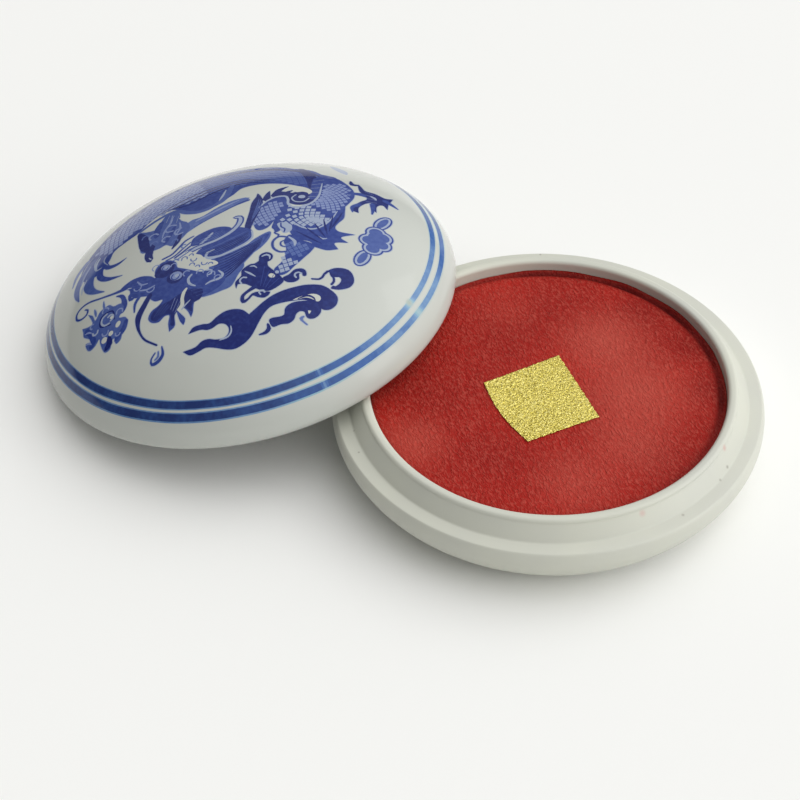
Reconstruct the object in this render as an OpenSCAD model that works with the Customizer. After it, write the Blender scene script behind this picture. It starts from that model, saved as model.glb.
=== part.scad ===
// Seal paste box: a shallow porcelain dish of red seal paste and a low domed lid.
// The lid is off. Its far edge stands on the table and its rim leans on the lip of the dish.
// Lengths are millimetres. +Z is up and the table is z = 0. The lid lies towards -X.
// The origin is on the table, in the middle of the two pieces' common outline.

/* [Base dish] */
// Diameter of the dish at its widest ring
base_d = 92; // [80:0.5:110]
// Height of the dish from the table to the crest of its lip
base_h = 17; // [15:0.25:22]
// Height of the lip above the flange that carries the closed lid
lip_h = 3.9; // [3:0.05:5]
// Width of the flange, from the foot of the lip to the widest ring
flange_w = 3.6; // [3.2:0.05:5]
// How far the outer wall of the lip leans inwards on its way up
lip_lean = 2.4; // [1:0.1:3]
// Width of the lip's crest
lip_w = 2.2; // [1.8:0.1:3.5]
// Radius that rounds both edges of the crest
lip_round = 0.85; // [0.4:0.05:0.9]
// Drop from the flange to the widest ring
shoulder_h = 3; // [2:0.1:5]
// How far the flange's edge lies inside the widest ring
shoulder_inset = 1; // [0.5:0.05:1.1]
// Thickness of the dish's floor, measured up from the table
floor_z = 5; // [4:0.25:7]
// Radius between the floor and the wall inside the dish
dish_fillet = 3; // [1:0.25:4]

/* [Foot ring] */
// How far the foot ring lies inside the widest ring
foot_inset = 9; // [7:0.5:13]
// Width of the foot ring
foot_w = 3.2; // [2:0.2:6]
// Depth of the hollow inside the foot ring
foot_h = 1.6; // [0.8:0.1:2.4]
// Roundness of the belly between foot and widest ring, where 2 is an ellipse
belly_power = 1.5; // [1.3:0.05:2.4]

/* [Lid] */
// Height of the lid from its rim to its crown
lid_h = 23.7; // [18:0.5:30]
// How far the lid's widest ring stands out past the widest ring of the dish
lid_overhang = 1.4; // [0.4:0.1:3]
// Height of the lid's widest ring above its rim
lid_belly_z = 2.3; // [1.5:0.1:4]
// Roundness of the dome, where 2 is an ellipse
dome_power = 1.9; // [1.7:0.05:2.4]
// Thickness of the lid at its crown
lid_wall = 3; // [2:0.1:5]
// Width of the rim's flat foot
rim_w = 2; // [1.4:0.1:2.4]
// Radius that rounds the inner edge of the rim
rim_round = 0.4; // [0.2:0.05:0.8]
// Clearance between the lid's bore and the foot of the lip
lid_clearance = 0.55; // [0.3:0.05:0.9]

/* [Seal paste] */
// Drop from the crest of the lip to the edge of the paste
paste_drop = 2.5; // [1.5:0.1:5]
// Rise of the paste's middle above its edge
paste_crown = 0.6; // [0.2:0.1:1.5]
// Radius of the rolled edge of the paste
paste_roll = 1.1; // [0.5:0.1:2]
// Clearance between the paste and the dish
paste_gap = 0.1; // [0.05:0.05:0.3]

/* [Gold foil] */
// Mean width of the foil
foil_w = 17.4; // [10:0.2:26]
// Length of the foil
foil_l = 19.6; // [10:0.2:26]
// How much wider one end of the foil is cut than the other
foil_taper = 1.6; // [0:0.1:3]
// How far one long side bows out
foil_bow = 1.1; // [0:0.1:2]
// Thickness that stands for the foil and its wrinkles
foil_t = 0.25; // [0.2:0.05:0.5]
// Clearance between the foil and the paste
foil_gap = 0.05; // [0.05:0.05:0.2]
// Angle of the foil about the dish's axis, in degrees
foil_turn = -40.7; // [-90:0.1:90]

/* [Leaning lid] */
// Distance between the two points where the lid's rim touches the lip
touch_span = 37.5; // [24:0.5:56]
// Clearance left at those two points
touch_gap = 0.2; // [0.1:0.05:0.4]

/* [Hidden] */
$fn = 120;

// Steps along a quarter of a long curve, and along a small rounding
LONG_STEPS = 20;
ROUND_STEPS = 6;
// The foil's middle, from the dish's axis
FOIL_AT = [-0.3, -3.6];
PORCELAIN_WHITE = [0.90, 0.91, 0.89];
BISQUE_GREY = [0.80, 0.80, 0.76];
PASTE_RED = [0.66, 0.19, 0.15];
FOIL_GOLD = [0.88, 0.80, 0.42];

// Radii of the dish, from the outside in
base_r = base_d / 2;
flange_r = base_r - shoulder_inset;
lip_foot_r = base_r - flange_w;
lip_top_r = lip_foot_r - lip_lean;
dish_r = lip_top_r - lip_w;
crest_r = dish_r + lip_w / 2;
foot_r = base_r - foot_inset;

// Heights of the dish
flange_z = base_h - lip_h;
widest_z = flange_z - shoulder_h;

// Radii and heights of the lid, from its rim
lid_r = base_r + lid_overhang;
bore_r = lip_foot_r + lid_clearance;
rim_r = bore_r + rim_w;
rim_out = lid_r - rim_r;
bore_h = lip_h + lid_clearance;
dome_h = lid_h - lid_belly_z;
cavity_h = lid_h - lid_wall - bore_h;

// Surface of the paste
paste_r = dish_r - paste_gap;
paste_edge_z = base_h - paste_drop;
paste_top_z = paste_edge_z + paste_crown;

// How the lid leans: the rim's inner edge lies on the crest at two points, and the rim's outer
// edge stands on the table. touch_in_lid is the two points' distance from the lid's axis along
// the lean, and touch_in_dish is the same from the dish's axis.
touch_in_lid = sqrt(pow(bore_r, 2) - pow(touch_span / 2, 2));
touch_in_dish = sqrt(pow(crest_r, 2) - pow(touch_span / 2, 2));
lean = asin((base_h + touch_gap) / (rim_r + touch_in_lid));
lid_apart = touch_in_dish + touch_in_lid * cos(lean);
lid_z = rim_r * sin(lean) + norm([rim_out * sin(lean), lid_belly_z * cos(lean)])
    - lid_belly_z * cos(lean);

// The leaning dome's reach towards -X, from the rim's centre, by the dual power of its curve
dual_power = dome_power / (dome_power - 1);
lid_reach = lid_belly_z * sin(lean)
    + pow(pow(lid_r * cos(lean), dual_power) + pow(dome_h * sin(lean), dual_power), 1 / dual_power);
base_x = (lid_apart + lid_reach - base_r) / 2;
lid_x = base_x - lid_apart;

// Points along an elliptical arc, between two angles in degrees
function arc(centre, radii, from, to, steps = ROUND_STEPS) =
    [for (i = [0:steps])
        let (a = from + (to - from) * i / steps)
        centre + [radii[0] * cos(a), radii[1] * sin(a)]];

// Points along a quarter superellipse, from its side at [radii[0], 0] to its top at [0, radii[1]]
function dome(centre, radii, power, steps = LONG_STEPS) =
    [for (i = [0:steps])
        let (a = 90 * i / steps)
        centre + [radii[0] * pow(cos(a), 2 / power), radii[1] * pow(sin(a), 2 / power)]];

// The same points in the opposite order
function reversed(points) = [for (i = [len(points) - 1:-1:0]) points[i]];

// Height of the paste's crown at a distance from the dish's axis
function crown_z(r) = paste_top_z - paste_crown * pow(r / paste_r, 2);

// Points on the crown between two radii, raised by a height
function crown_line(from, to, raised, steps = LONG_STEPS) =
    [for (i = [0:steps])
        let (r = from + (to - from) * i / steps)
        [r, crown_z(r) + raised]];

// Inside of the dish from the middle of its floor to the top of its wall, drawn in by a gap
function dish_inside(gap, top_z) =
    concat(
        [[0, floor_z + gap]],
        arc([dish_r - dish_fillet, floor_z + dish_fillet],
            [dish_fillet - gap, dish_fillet - gap], -90, 0),
        [[dish_r - gap, top_z]]);

// The dish: foot ring, belly, shoulder, flange, leaning lip with a rounded crest, and well
module base_dish() {
    belly = [for (p = dome([0, 0], [foot_inset, widest_z], belly_power)) [foot_r + p[0], widest_z - p[1]]];
    outside = concat(
        reversed(belly),
        arc([flange_r, widest_z], [shoulder_inset, shoulder_h], 0, 90),
        [[lip_foot_r, flange_z]],
        arc([lip_top_r - lip_round, base_h - lip_round], [lip_round, lip_round], 0, 90),
        arc([dish_r + lip_round, base_h - lip_round], [lip_round, lip_round], 90, 180));
    underside = [[0, foot_h], [foot_r - foot_w - foot_h / 2, foot_h], [foot_r - foot_w, 0]];
    color(BISQUE_GREY)
        translate([base_x, 0, 0])
            rotate_extrude()
                polygon(concat(underside, outside, reversed(dish_inside(0, base_h - 2 * lip_round))));
}

// The paste: it fills the well, rolls over at its edge and rises slightly to its middle
module seal_paste() {
    roll_z = crown_z(paste_r - paste_roll) - paste_roll;
    color(PASTE_RED)
        translate([base_x, 0, 0])
            rotate_extrude()
                polygon(concat(
                    dish_inside(paste_gap, roll_z),
                    arc([paste_r - paste_roll, roll_z], [paste_roll, paste_roll], 10, 80),
                    crown_line(paste_r - paste_roll, 0, 0)));
}

// Outline of the hand-cut foil, with one long side bowed out
module foil_outline() {
    wide = foil_w / 2 + foil_taper / 4;
    narrow = foil_w / 2 - foil_taper / 4;
    bowed = [for (i = [1:ROUND_STEPS - 1])
        let (t = i / ROUND_STEPS)
        [foil_l * (0.5 - t), -narrow + (narrow - wide) * t - foil_bow * sin(180 * t)]];
    polygon(concat(
        [[-foil_l / 2, -wide], [-foil_l / 2, wide], [foil_l / 2, narrow], [foil_l / 2, -narrow]],
        bowed));
}

// The foil: a thin sheet that follows the paste's crown
module gold_foil() {
    reach = norm(FOIL_AT) + norm([foil_l, foil_w + foil_taper + foil_bow]) / 2;
    color(FOIL_GOLD)
        translate([base_x, 0, 0])
            intersection() {
                translate([FOIL_AT[0], FOIL_AT[1], floor_z])
                    rotate([0, 0, foil_turn])
                        linear_extrude(height = base_h)
                            foil_outline();
                rotate_extrude()
                    polygon(concat(
                        crown_line(0, reach, foil_gap),
                        crown_line(reach, 0, foil_gap + foil_t)));
            }
}

// Outline of half the lid: rolled rim, superellipse dome, cavity and the bore that goes over the lip
module lid_profile() {
    outside = concat(
        arc([rim_r, lid_belly_z], [rim_out, lid_belly_z], -90, 0),
        dome([0, lid_belly_z], [lid_r, dome_h], dome_power));
    inside = concat(
        reversed(dome([0, bore_h], [bore_r, cavity_h], dome_power)),
        arc([bore_r + rim_round, rim_round], [rim_round, rim_round], 180, 270));
    polygon(concat(outside, inside));
}

// The lid, leaning on the lip of the dish
module lid_shell() {
    color(PORCELAIN_WHITE)
        translate([lid_x, 0, lid_z])
            rotate([0, -lean, 0])
                rotate_extrude()
                    lid_profile();
}

base_dish();
seal_paste();
gold_foil();
lid_shell();
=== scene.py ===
"""Dressed model of a seal paste box: a porcelain dish of red paste and its domed lid.

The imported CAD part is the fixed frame. Each class builds one sub-assembly in its own millimetres,
places it in the frame and gives it its finish: the dish, the paste in it, the gold foil on the
paste, and the lid with its cobalt dragon and double line.
"""
from __future__ import annotations

import logging
import math
from dataclasses import dataclass, field
from enum import Enum
from functools import partial
from typing import Any, Callable, Optional, Sequence, Union

import bpy
import numpy as np
from mathutils import Matrix, Vector, noise
from mathutils.geometry import delaunay_2d_cdt

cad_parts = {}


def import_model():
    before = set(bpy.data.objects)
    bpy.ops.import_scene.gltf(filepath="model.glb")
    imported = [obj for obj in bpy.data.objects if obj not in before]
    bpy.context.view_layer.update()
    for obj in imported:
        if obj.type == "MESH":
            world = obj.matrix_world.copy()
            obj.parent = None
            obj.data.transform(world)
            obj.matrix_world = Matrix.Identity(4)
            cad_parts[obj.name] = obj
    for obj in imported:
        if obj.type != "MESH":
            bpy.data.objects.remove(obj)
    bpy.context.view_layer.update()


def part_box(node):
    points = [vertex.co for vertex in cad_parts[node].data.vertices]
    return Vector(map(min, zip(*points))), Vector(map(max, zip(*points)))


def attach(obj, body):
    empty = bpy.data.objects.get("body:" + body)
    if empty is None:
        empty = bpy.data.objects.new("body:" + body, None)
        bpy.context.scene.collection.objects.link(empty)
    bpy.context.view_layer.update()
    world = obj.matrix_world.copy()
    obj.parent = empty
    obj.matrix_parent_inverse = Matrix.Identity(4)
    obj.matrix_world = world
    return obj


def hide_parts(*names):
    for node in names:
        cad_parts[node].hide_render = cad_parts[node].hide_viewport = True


LOG = logging.getLogger("seal_paste_box")
MM = 0.001

Point = tuple[float, float]
Triple = tuple[float, float, float]
Profile = list[Point]
# A place along a brush stroke with the stroke's width there
Knot = Triple
# One number for a whole ring, or one at each of its vertices
Along = Union[float, np.ndarray]
# A colour ramp: positions in rising order, each with its hex colour
Stops = tuple[tuple[float, str], ...]
Node = bpy.types.Node
Socket = bpy.types.NodeSocket
# What feeds an input: an output socket, or a node for its first output
Feed = Union[Socket, Node]
# The function add_node, bound to one tree
Adder = Callable[..., Node]


# Helpers for numbers, colours and nodes


def within(value: float) -> float:
    """Keeps a number between 0 and 1."""
    return min(1.0, max(0.0, value))


def wave(x: float, y: float, seed: float) -> float:
    """Gives the height of a smooth random surface, from -1 to 1, where the seed tells which surface."""
    return noise.noise(Vector((x, y, seed)))


def turn_between(angle: float, middle: float) -> float:
    """Gives the turn from one angle to another in degrees, from -180 to 180."""
    return (angle - middle + 180) % 360 - 180


def per_metre(size: float) -> float:
    """Turns a pattern's size in millimetres into a texture's scale."""
    return 1 / (size * MM)


def linear(code: str) -> tuple[float, float, float, float]:
    """Turns an sRGB hex colour into linear light.

    Args:
        code: Six hex digits after a hash.

    Returns:
        Red, green, blue and an alpha of 1.
    """
    parts = [int(code[i:i + 2], 16) / 255 for i in (1, 3, 5)]
    curve = [p / 12.92 if p <= 0.04045 else ((p + 0.055) / 1.055) ** 2.4 for p in parts]
    return (curve[0], curve[1], curve[2], 1.0)


def add_node(tree: bpy.types.NodeTree, kind: str, settings: Optional[dict[Any, Any]] = None,
             links: Optional[dict[Any, Feed]] = None) -> Node:
    """Adds one node with its settings and the links into it.

    Args:
        tree: The node tree that gets the node.
        kind: The node's type name, without the ShaderNode that all of them start with.
        settings: Values by input name or number, or by the node's own property name. The name
            "stops" sets a colour ramp's positions and hex colours, in rising order.
        links: What feeds each input, by the input's name or number.

    Returns:
        The new node.
    """
    node = tree.nodes.new("ShaderNode" + kind)
    for key, value in (settings or {}).items():
        if key == "stops":
            elements = node.color_ramp.elements
            while len(elements) < len(value):
                elements.new(1.0)
            for element, (position, code) in zip(elements, value):
                element.position = position
                element.color = linear(code)
        elif isinstance(key, int) or key in node.inputs:
            node.inputs[key].default_value = value
        else:
            setattr(node, key, value)
    for key, feed in (links or {}).items():
        tree.links.new(feed.outputs[0] if isinstance(feed, Node) else feed, node.inputs[key])
    return node


# Sizes of the object, in millimetres, as the part's source gives them


@dataclass
class BoxSizes:
    """Driving sizes of the dish and the lid, with the radii and heights that follow from them."""

    base_d: float = 92.0
    base_h: float = 17.0
    lip_h: float = 3.9
    flange_w: float = 3.6
    lip_lean: float = 2.4
    lip_w: float = 2.2
    lip_round: float = 0.85
    shoulder_h: float = 3.0
    shoulder_inset: float = 1.0
    floor_z: float = 5.0
    dish_fillet: float = 3.0
    foot_inset: float = 9.0
    foot_w: float = 3.2
    foot_h: float = 1.6
    belly_power: float = 1.5
    lid_h: float = 23.7
    lid_overhang: float = 1.4
    lid_belly_z: float = 2.3
    dome_power: float = 1.9
    lid_wall: float = 3.0
    rim_w: float = 2.0
    rim_round: float = 0.4
    lid_clearance: float = 0.55
    paste_drop: float = 2.5
    paste_crown: float = 0.6
    paste_roll: float = 1.1
    paste_gap: float = 0.1
    touch_span: float = 37.5
    touch_gap: float = 0.2

    def __post_init__(self) -> None:
        """Works out the sizes that follow."""
        # Radii of the dish: widest ring, flange's edge, foot and top of the lip's wall, well, foot ring
        self.base_r = self.base_d / 2
        self.flange_r = self.base_r - self.shoulder_inset
        self.lip_foot_r = self.base_r - self.flange_w
        self.lip_top_r = self.lip_foot_r - self.lip_lean
        self.dish_r = self.lip_top_r - self.lip_w
        self.foot_r = self.base_r - self.foot_inset
        # Heights of the flange and the widest ring
        self.flange_z = self.base_h - self.lip_h
        self.widest_z = self.flange_z - self.shoulder_h
        # Radii of the lid: widest ring, bore, outer edge of the rim's flat foot
        self.lid_r = self.base_r + self.lid_overhang
        self.bore_r = self.lip_foot_r + self.lid_clearance
        self.rim_r = self.bore_r + self.rim_w
        # Heights of the lid: bore, dome above the widest ring, cavity above the bore
        self.bore_h = self.lip_h + self.lid_clearance
        self.dome_h = self.lid_h - self.lid_belly_z
        self.cavity_h = self.lid_h - self.lid_wall - self.bore_h
        # The paste's radius and the height of its middle
        self.paste_r = self.dish_r - self.paste_gap
        self.paste_top_z = self.base_h - self.paste_drop + self.paste_crown
        # The two points where the rim touches the lip's crest, from each axis along the lean
        half = self.touch_span / 2
        in_lid = math.sqrt(self.bore_r ** 2 - half ** 2)
        in_dish = math.sqrt((self.dish_r + self.lip_w / 2) ** 2 - half ** 2)
        # The lid's lean in radians, and the middle of its rim: distance from the dish's axis, and height
        self.lean = math.asin((self.base_h + self.touch_gap) / (self.rim_r + in_lid))
        self.lid_apart = in_dish + in_lid * math.cos(self.lean)
        drop = self.lid_belly_z * math.cos(self.lean)
        out = (self.lid_r - self.rim_r) * math.sin(self.lean)
        self.lid_z = self.rim_r * math.sin(self.lean) + math.hypot(out, drop) - drop

    def crown_z(self, radius: float) -> float:
        """Height of the paste's smooth crown at a distance from the dish's axis."""
        return self.paste_top_z - self.paste_crown * (radius / self.paste_r) ** 2

    def dome_z(self, radius: float) -> float:
        """Height of the lid's outside at a distance from its axis."""
        share = min(radius / self.lid_r, 1.0)
        return self.lid_belly_z + self.dome_h * (1 - share ** self.dome_power) ** (1 / self.dome_power)


# Curves and meshes


def arc(centre: Point, radii: Point, start: float, end: float, steps: int = 8) -> Profile:
    """Points along an elliptical arc.

    Args:
        centre: The arc's centre.
        radii: Its two radii.
        start: First angle in degrees.
        end: Last angle in degrees.
        steps: Number of steps between them.

    Returns:
        The points, from the first angle to the last.
    """
    angles = np.radians(np.linspace(start, end, steps + 1))
    return [(centre[0] + radii[0] * math.cos(a), centre[1] + radii[1] * math.sin(a)) for a in angles]


def superellipse(centre: Point, radii: Point, power: float, steps: int = 40) -> Profile:
    """Points along a quarter superellipse, from its side to its top.

    Args:
        centre: The curve's centre.
        radii: Its reach to the side and to the top.
        power: Its power, where 2 is an ellipse.
        steps: Number of steps along it.

    Returns:
        The points, from the side to the top.
    """
    angles = np.radians(np.linspace(0, 90, steps + 1))
    return [(centre[0] + radii[0] * max(math.cos(a), 0.0) ** (2 / power),
             centre[1] + radii[1] * math.sin(a) ** (2 / power)) for a in angles]


def softened(points: Profile, radius: float, sharp: float = 18.0, steps: int = 4) -> Profile:
    """Rounds the sharp corners of a profile and leaves its smooth runs.

    Args:
        points: The profile.
        radius: Length cut from each side of a corner, at most a third of the side.
        sharp: Turn in degrees from which a corner counts as sharp.
        steps: Number of steps round each corner.

    Returns:
        The profile with its corners rounded.
    """
    out = [points[0]]
    for before, corner, after in zip(points, points[1:], points[2:]):
        a = np.subtract(before, corner)
        b = np.subtract(after, corner)
        la, lb = np.hypot(*a), np.hypot(*b)
        turn = math.degrees(math.acos(np.clip(-(a @ b) / (la * lb), -1, 1)))
        if turn < sharp:
            out.append(corner)
            continue
        start = corner + a / la * min(radius, la / 3)
        end = corner + b / lb * min(radius, lb / 3)
        for t in np.linspace(0, 1, steps + 1):
            p = (1 - t) ** 2 * start + 2 * t * (1 - t) * np.array(corner) + t * t * end
            out.append((float(p[0]), float(p[1])))
    return out + [points[-1]]


def spline(points: Sequence[tuple[float, ...]], step: float, closed: bool = False,
           corners: Sequence[int] = ()) -> np.ndarray:
    """Draws a smooth line through given points.

    Args:
        points: The points, in order.
        step: Spacing of the points returned.
        closed: Whether the line comes back to its first point.
        corners: Numbers of the points where the line may turn sharply.

    Returns:
        Points along the line, one a row.
    """
    knots = np.array(points, float)
    count = len(knots)
    out = []
    for i in range(count if closed else count - 1):
        j = (i + 1) % count
        before = (i - 1) % count if closed or i else 0
        after = (j + 1) % count if closed or j < count - 1 else count - 1
        chord = knots[j] - knots[i]
        leave = chord if i in corners else (knots[j] - knots[before]) / 2
        arrive = chord if j in corners else (knots[after] - knots[i]) / 2
        steps = max(1, round(math.hypot(chord[0], chord[1]) / step))
        t = np.linspace(0, 1, steps, endpoint=False)[:, None]
        out.append((2 * t ** 3 - 3 * t ** 2 + 1) * knots[i] + (t ** 3 - 2 * t ** 2 + t) * leave
                   + (3 * t ** 2 - 2 * t ** 3) * knots[j] + (t ** 3 - t ** 2) * arrive)
    if not closed:
        out.append(knots[-1:])
    return np.concatenate(out)


@dataclass
class MeshParts:
    """Vertices in millimetres with the faces that join them, gathered piece by piece."""

    verts: list[Triple] = field(default_factory=list)
    faces: list[tuple[int, ...]] = field(default_factory=list)

    def ring(self, radius: Along, z: Along, segments: int) -> list[int]:
        """Adds a ring of vertices.

        Args:
            radius: The ring's radius, or one at each vertex.
            z: Its height, or one at each vertex.
            segments: Number of vertices round it.

        Returns:
            The vertices' numbers.
        """
        first = len(self.verts)
        angles = 2 * np.pi * np.arange(segments) / segments
        radii, heights = np.broadcast_to(radius, segments), np.broadcast_to(z, segments)
        self.verts += [(float(r * math.cos(a)), float(r * math.sin(a)), float(h))
                       for a, r, h in zip(angles, radii, heights)]
        return list(range(first, first + segments))

    def band(self, lower: list[int], upper: list[int]) -> range:
        """Joins two rings of equal length by quads.

        Args:
            lower: The lower ring's vertices.
            upper: The upper ring's vertices.

        Returns:
            The new faces' numbers.
        """
        count = len(lower)
        first = len(self.faces)
        self.faces += [(lower[k], lower[(k + 1) % count], upper[(k + 1) % count], upper[k])
                       for k in range(count)]
        return range(first, len(self.faces))

    def cap(self, ring: list[int], z: float, upward: bool) -> None:
        """Closes a ring with a fan to one vertex on the axis.

        Args:
            ring: The ring's vertices.
            z: Height of the vertex on the axis.
            upward: Whether the fan faces up.
        """
        self.verts.append((0.0, 0.0, z))
        tip = len(self.verts) - 1
        for k, corner in enumerate(ring):
            following = ring[(k + 1) % len(ring)]
            self.faces.append((corner, following, tip) if upward else (following, corner, tip))

    def revolve(self, profile: Profile, segments: int) -> None:
        """Adds a closed solid of revolution.

        Args:
            profile: Points from the axis below, round the outside, to the axis above.
            segments: Number of steps round the axis.
        """
        rings = [self.ring(r, z, segments) for r, z in profile[1:-1]]
        self.cap(rings[0], profile[0][1], upward=False)
        for lower, upper in zip(rings, rings[1:]):
            self.band(lower, upper)
        self.cap(rings[-1], profile[-1][1], upward=True)

    def disc(self, cells: int, radius: float, height: Callable[[float, float], float]) -> list[int]:
        """Adds an even grid of quads that fills a circle.

        Args:
            cells: Number of cells across the circle.
            radius: The circle's radius.
            height: Gives the height at a place.

        Returns:
            The numbers of the vertices along the circle, counter-clockwise from +X.
        """
        first = len(self.verts)
        steps = np.linspace(-1, 1, cells + 1)
        for b in steps:
            for a in steps:
                reach = max(abs(a), abs(b))
                if reach == 0:
                    x, y = 0.0, 0.0
                elif abs(a) >= abs(b):
                    turn = math.pi / 4 * b / a
                    x, y = a * math.cos(turn), a * math.sin(turn)
                else:
                    turn = math.pi / 4 * a / b
                    x, y = b * math.sin(turn), b * math.cos(turn)
                x, y = float(x) * radius, float(y) * radius
                self.verts.append((x, y, height(x, y)))
        row = cells + 1
        for j in range(cells):
            for i in range(cells):
                a = first + j * row + i
                self.faces.append((a, a + 1, a + row + 1, a + row))
        half = cells // 2
        right = [first + j * row + cells for j in range(cells)]
        top = [first + cells * row + i for i in range(cells, 0, -1)]
        left = [first + j * row for j in range(cells, 0, -1)]
        bottom = [first + i for i in range(cells)]
        rim = right + top + left + bottom
        return rim[half:] + rim[:half]

    def build(self, name: str, placed: Matrix, finish: Finish) -> bpy.types.Object:
        """Makes a smooth-shaded object with its finish.

        Args:
            name: The object's name.
            placed: Place of the millimetre mesh in the frame, in metres.
            finish: What the object is dressed in.

        Returns:
            The object at the frame's origin, linked to the scene.
        """
        mesh = bpy.data.meshes.new(name)
        mesh.from_pydata([placed @ (Vector(v) * MM) for v in self.verts], [], self.faces)
        mesh.validate()
        mesh.polygons.foreach_set("use_smooth", [True] * len(mesh.polygons))
        mesh.materials.append(finish.material())
        piece = bpy.data.objects.new(name, mesh)
        bpy.context.scene.collection.objects.link(piece)
        return piece


# Finishes


@dataclass(frozen=True)
class Stain:
    """A small soft spot on a surface, a real stain or a painted patch of light or shade: its place and reach
    in frame millimetres, and its colour.
    """

    place: Triple
    reach: float
    colour: str
    strength: float


@dataclass(frozen=True)
class Finish:
    """What every finish shares: a principled surface, fed by the nodes that each adds."""

    roughness: float = 0.5
    ior: float = 1.5
    specular: float = 0.5
    metallic: float = 0.0

    def inputs(self, add: Adder, place: Socket) -> dict[str, Feed]:
        """Adds the finish's own nodes.

        Args:
            add: Adds a node to the material.
            place: Places on the surface.

        Returns:
            What feeds the shader, by the input's name.
        """
        raise NotImplementedError

    def material(self) -> bpy.types.Material:
        """Makes the material, named for the finish."""
        found = bpy.data.materials.new(type(self).__name__)
        found.use_nodes = True
        found.node_tree.nodes.clear()
        add = partial(add_node, found.node_tree)
        feeds = self.inputs(add, add("TexCoord").outputs["Object"])
        shader = add("BsdfPrincipled",
                     {"Metallic": self.metallic, "IOR": self.ior, "Specular IOR Level": self.specular,
                      "Roughness": self.roughness}, feeds)
        add("OutputMaterial", {}, {"Surface": shader})
        return found

    def stained(self, add: Adder, place: Socket, colour: Feed, stains: Sequence[Stain]) -> Feed:
        """Lays soft-edged spots over a colour.

        Args:
            add: Adds a node to the material.
            place: Places on the surface.
            colour: The colour under the spots.
            stains: The spots.

        Returns:
            The colour with its spots.
        """
        for stain in stains:
            middle = tuple(c * MM for c in stain.place)
            away = add("VectorMath", {"operation": "DISTANCE", 1: middle}, {0: place})
            share = add("MapRange",
                        {"From Min": stain.reach * MM, "From Max": 0.0, "To Max": stain.strength,
                         "interpolation_type": "SMOOTHSTEP"}, {"Value": away.outputs["Value"]})
            colour = add("Mix", {"data_type": "RGBA", 7: linear(stain.colour)},
                         {0: share, 6: colour}).outputs[2]
        return colour


@dataclass(frozen=True)
class GlazedPorcelain(Finish):
    """Wheel-turned porcelain with cobalt under a clear glaze: a hard, wet gloss over a cool white body."""

    roughness: float = 0.08
    specular: float = 0.28
    body: str = "#C0C3BD"
    # The dragon's violet blue and the painted lines' purer blue, by the amount of ink
    print_blues: Stops = ((0.3, "#98A4C8"), (0.6, "#5166A3"), (0.82, "#293E88"), (1.0, "#0E1E66"))
    line_blues: Stops = ((0.35, "#8CAFCB"), (0.7, "#3B61A0"), (1.0, "#29396D"))
    # Ink gathers and thins in patches of a millimetre, and these are the least and the most of it
    pool_mm: float = 1.0
    pooled: Point = (0.93, 1.04)
    # A flaw in the glaze and a stray touch of cobalt, both by the double line
    stains: tuple[Stain, ...] = (
        Stain((4.9, -1.6, 28.3), 1.25, "#A3ADA2", 0.95),
        Stain((3.6, -6.1, 28.2), 0.5, "#2A3F7C", 0.8),
    )

    def cobalt(self, add: Adder, name: str, pool: Feed, blues: Stops) -> Node:
        """Colours the glaze by one of the faces' ink attributes, as it pools and thins."""
        ink = add("Attribute", {"attribute_name": name})
        amount = add("Math", {"operation": "MULTIPLY"}, {0: ink.outputs["Fac"], 1: pool})
        return add("ValToRGB", {"stops": ((0.0, self.body), *blues)}, {"Fac": amount})

    def inputs(self, add: Adder, place: Socket) -> dict[str, Feed]:
        """Feeds the body colour under the printed dragon and the painted lines."""
        patches = add("TexNoise", {"Scale": per_metre(self.pool_mm), "Detail": 4.0}, {"Vector": place})
        pool = add("MapRange",
                   {"From Min": 0.3, "From Max": 0.7, "To Min": self.pooled[0], "To Max": self.pooled[1]},
                   {"Value": patches})
        dragon = self.cobalt(add, "ink", pool, self.print_blues)
        lines = self.cobalt(add, "line", pool, self.line_blues)
        # The print and the lines never meet, so the darker of the two colours is the one that is there
        blue = add("Mix", {"data_type": "RGBA", "blend_type": "DARKEN", 0: 1.0}, {6: dragon, 7: lines})
        return {"Base Color": self.stained(add, place, blue.outputs[2], self.stains)}


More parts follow.
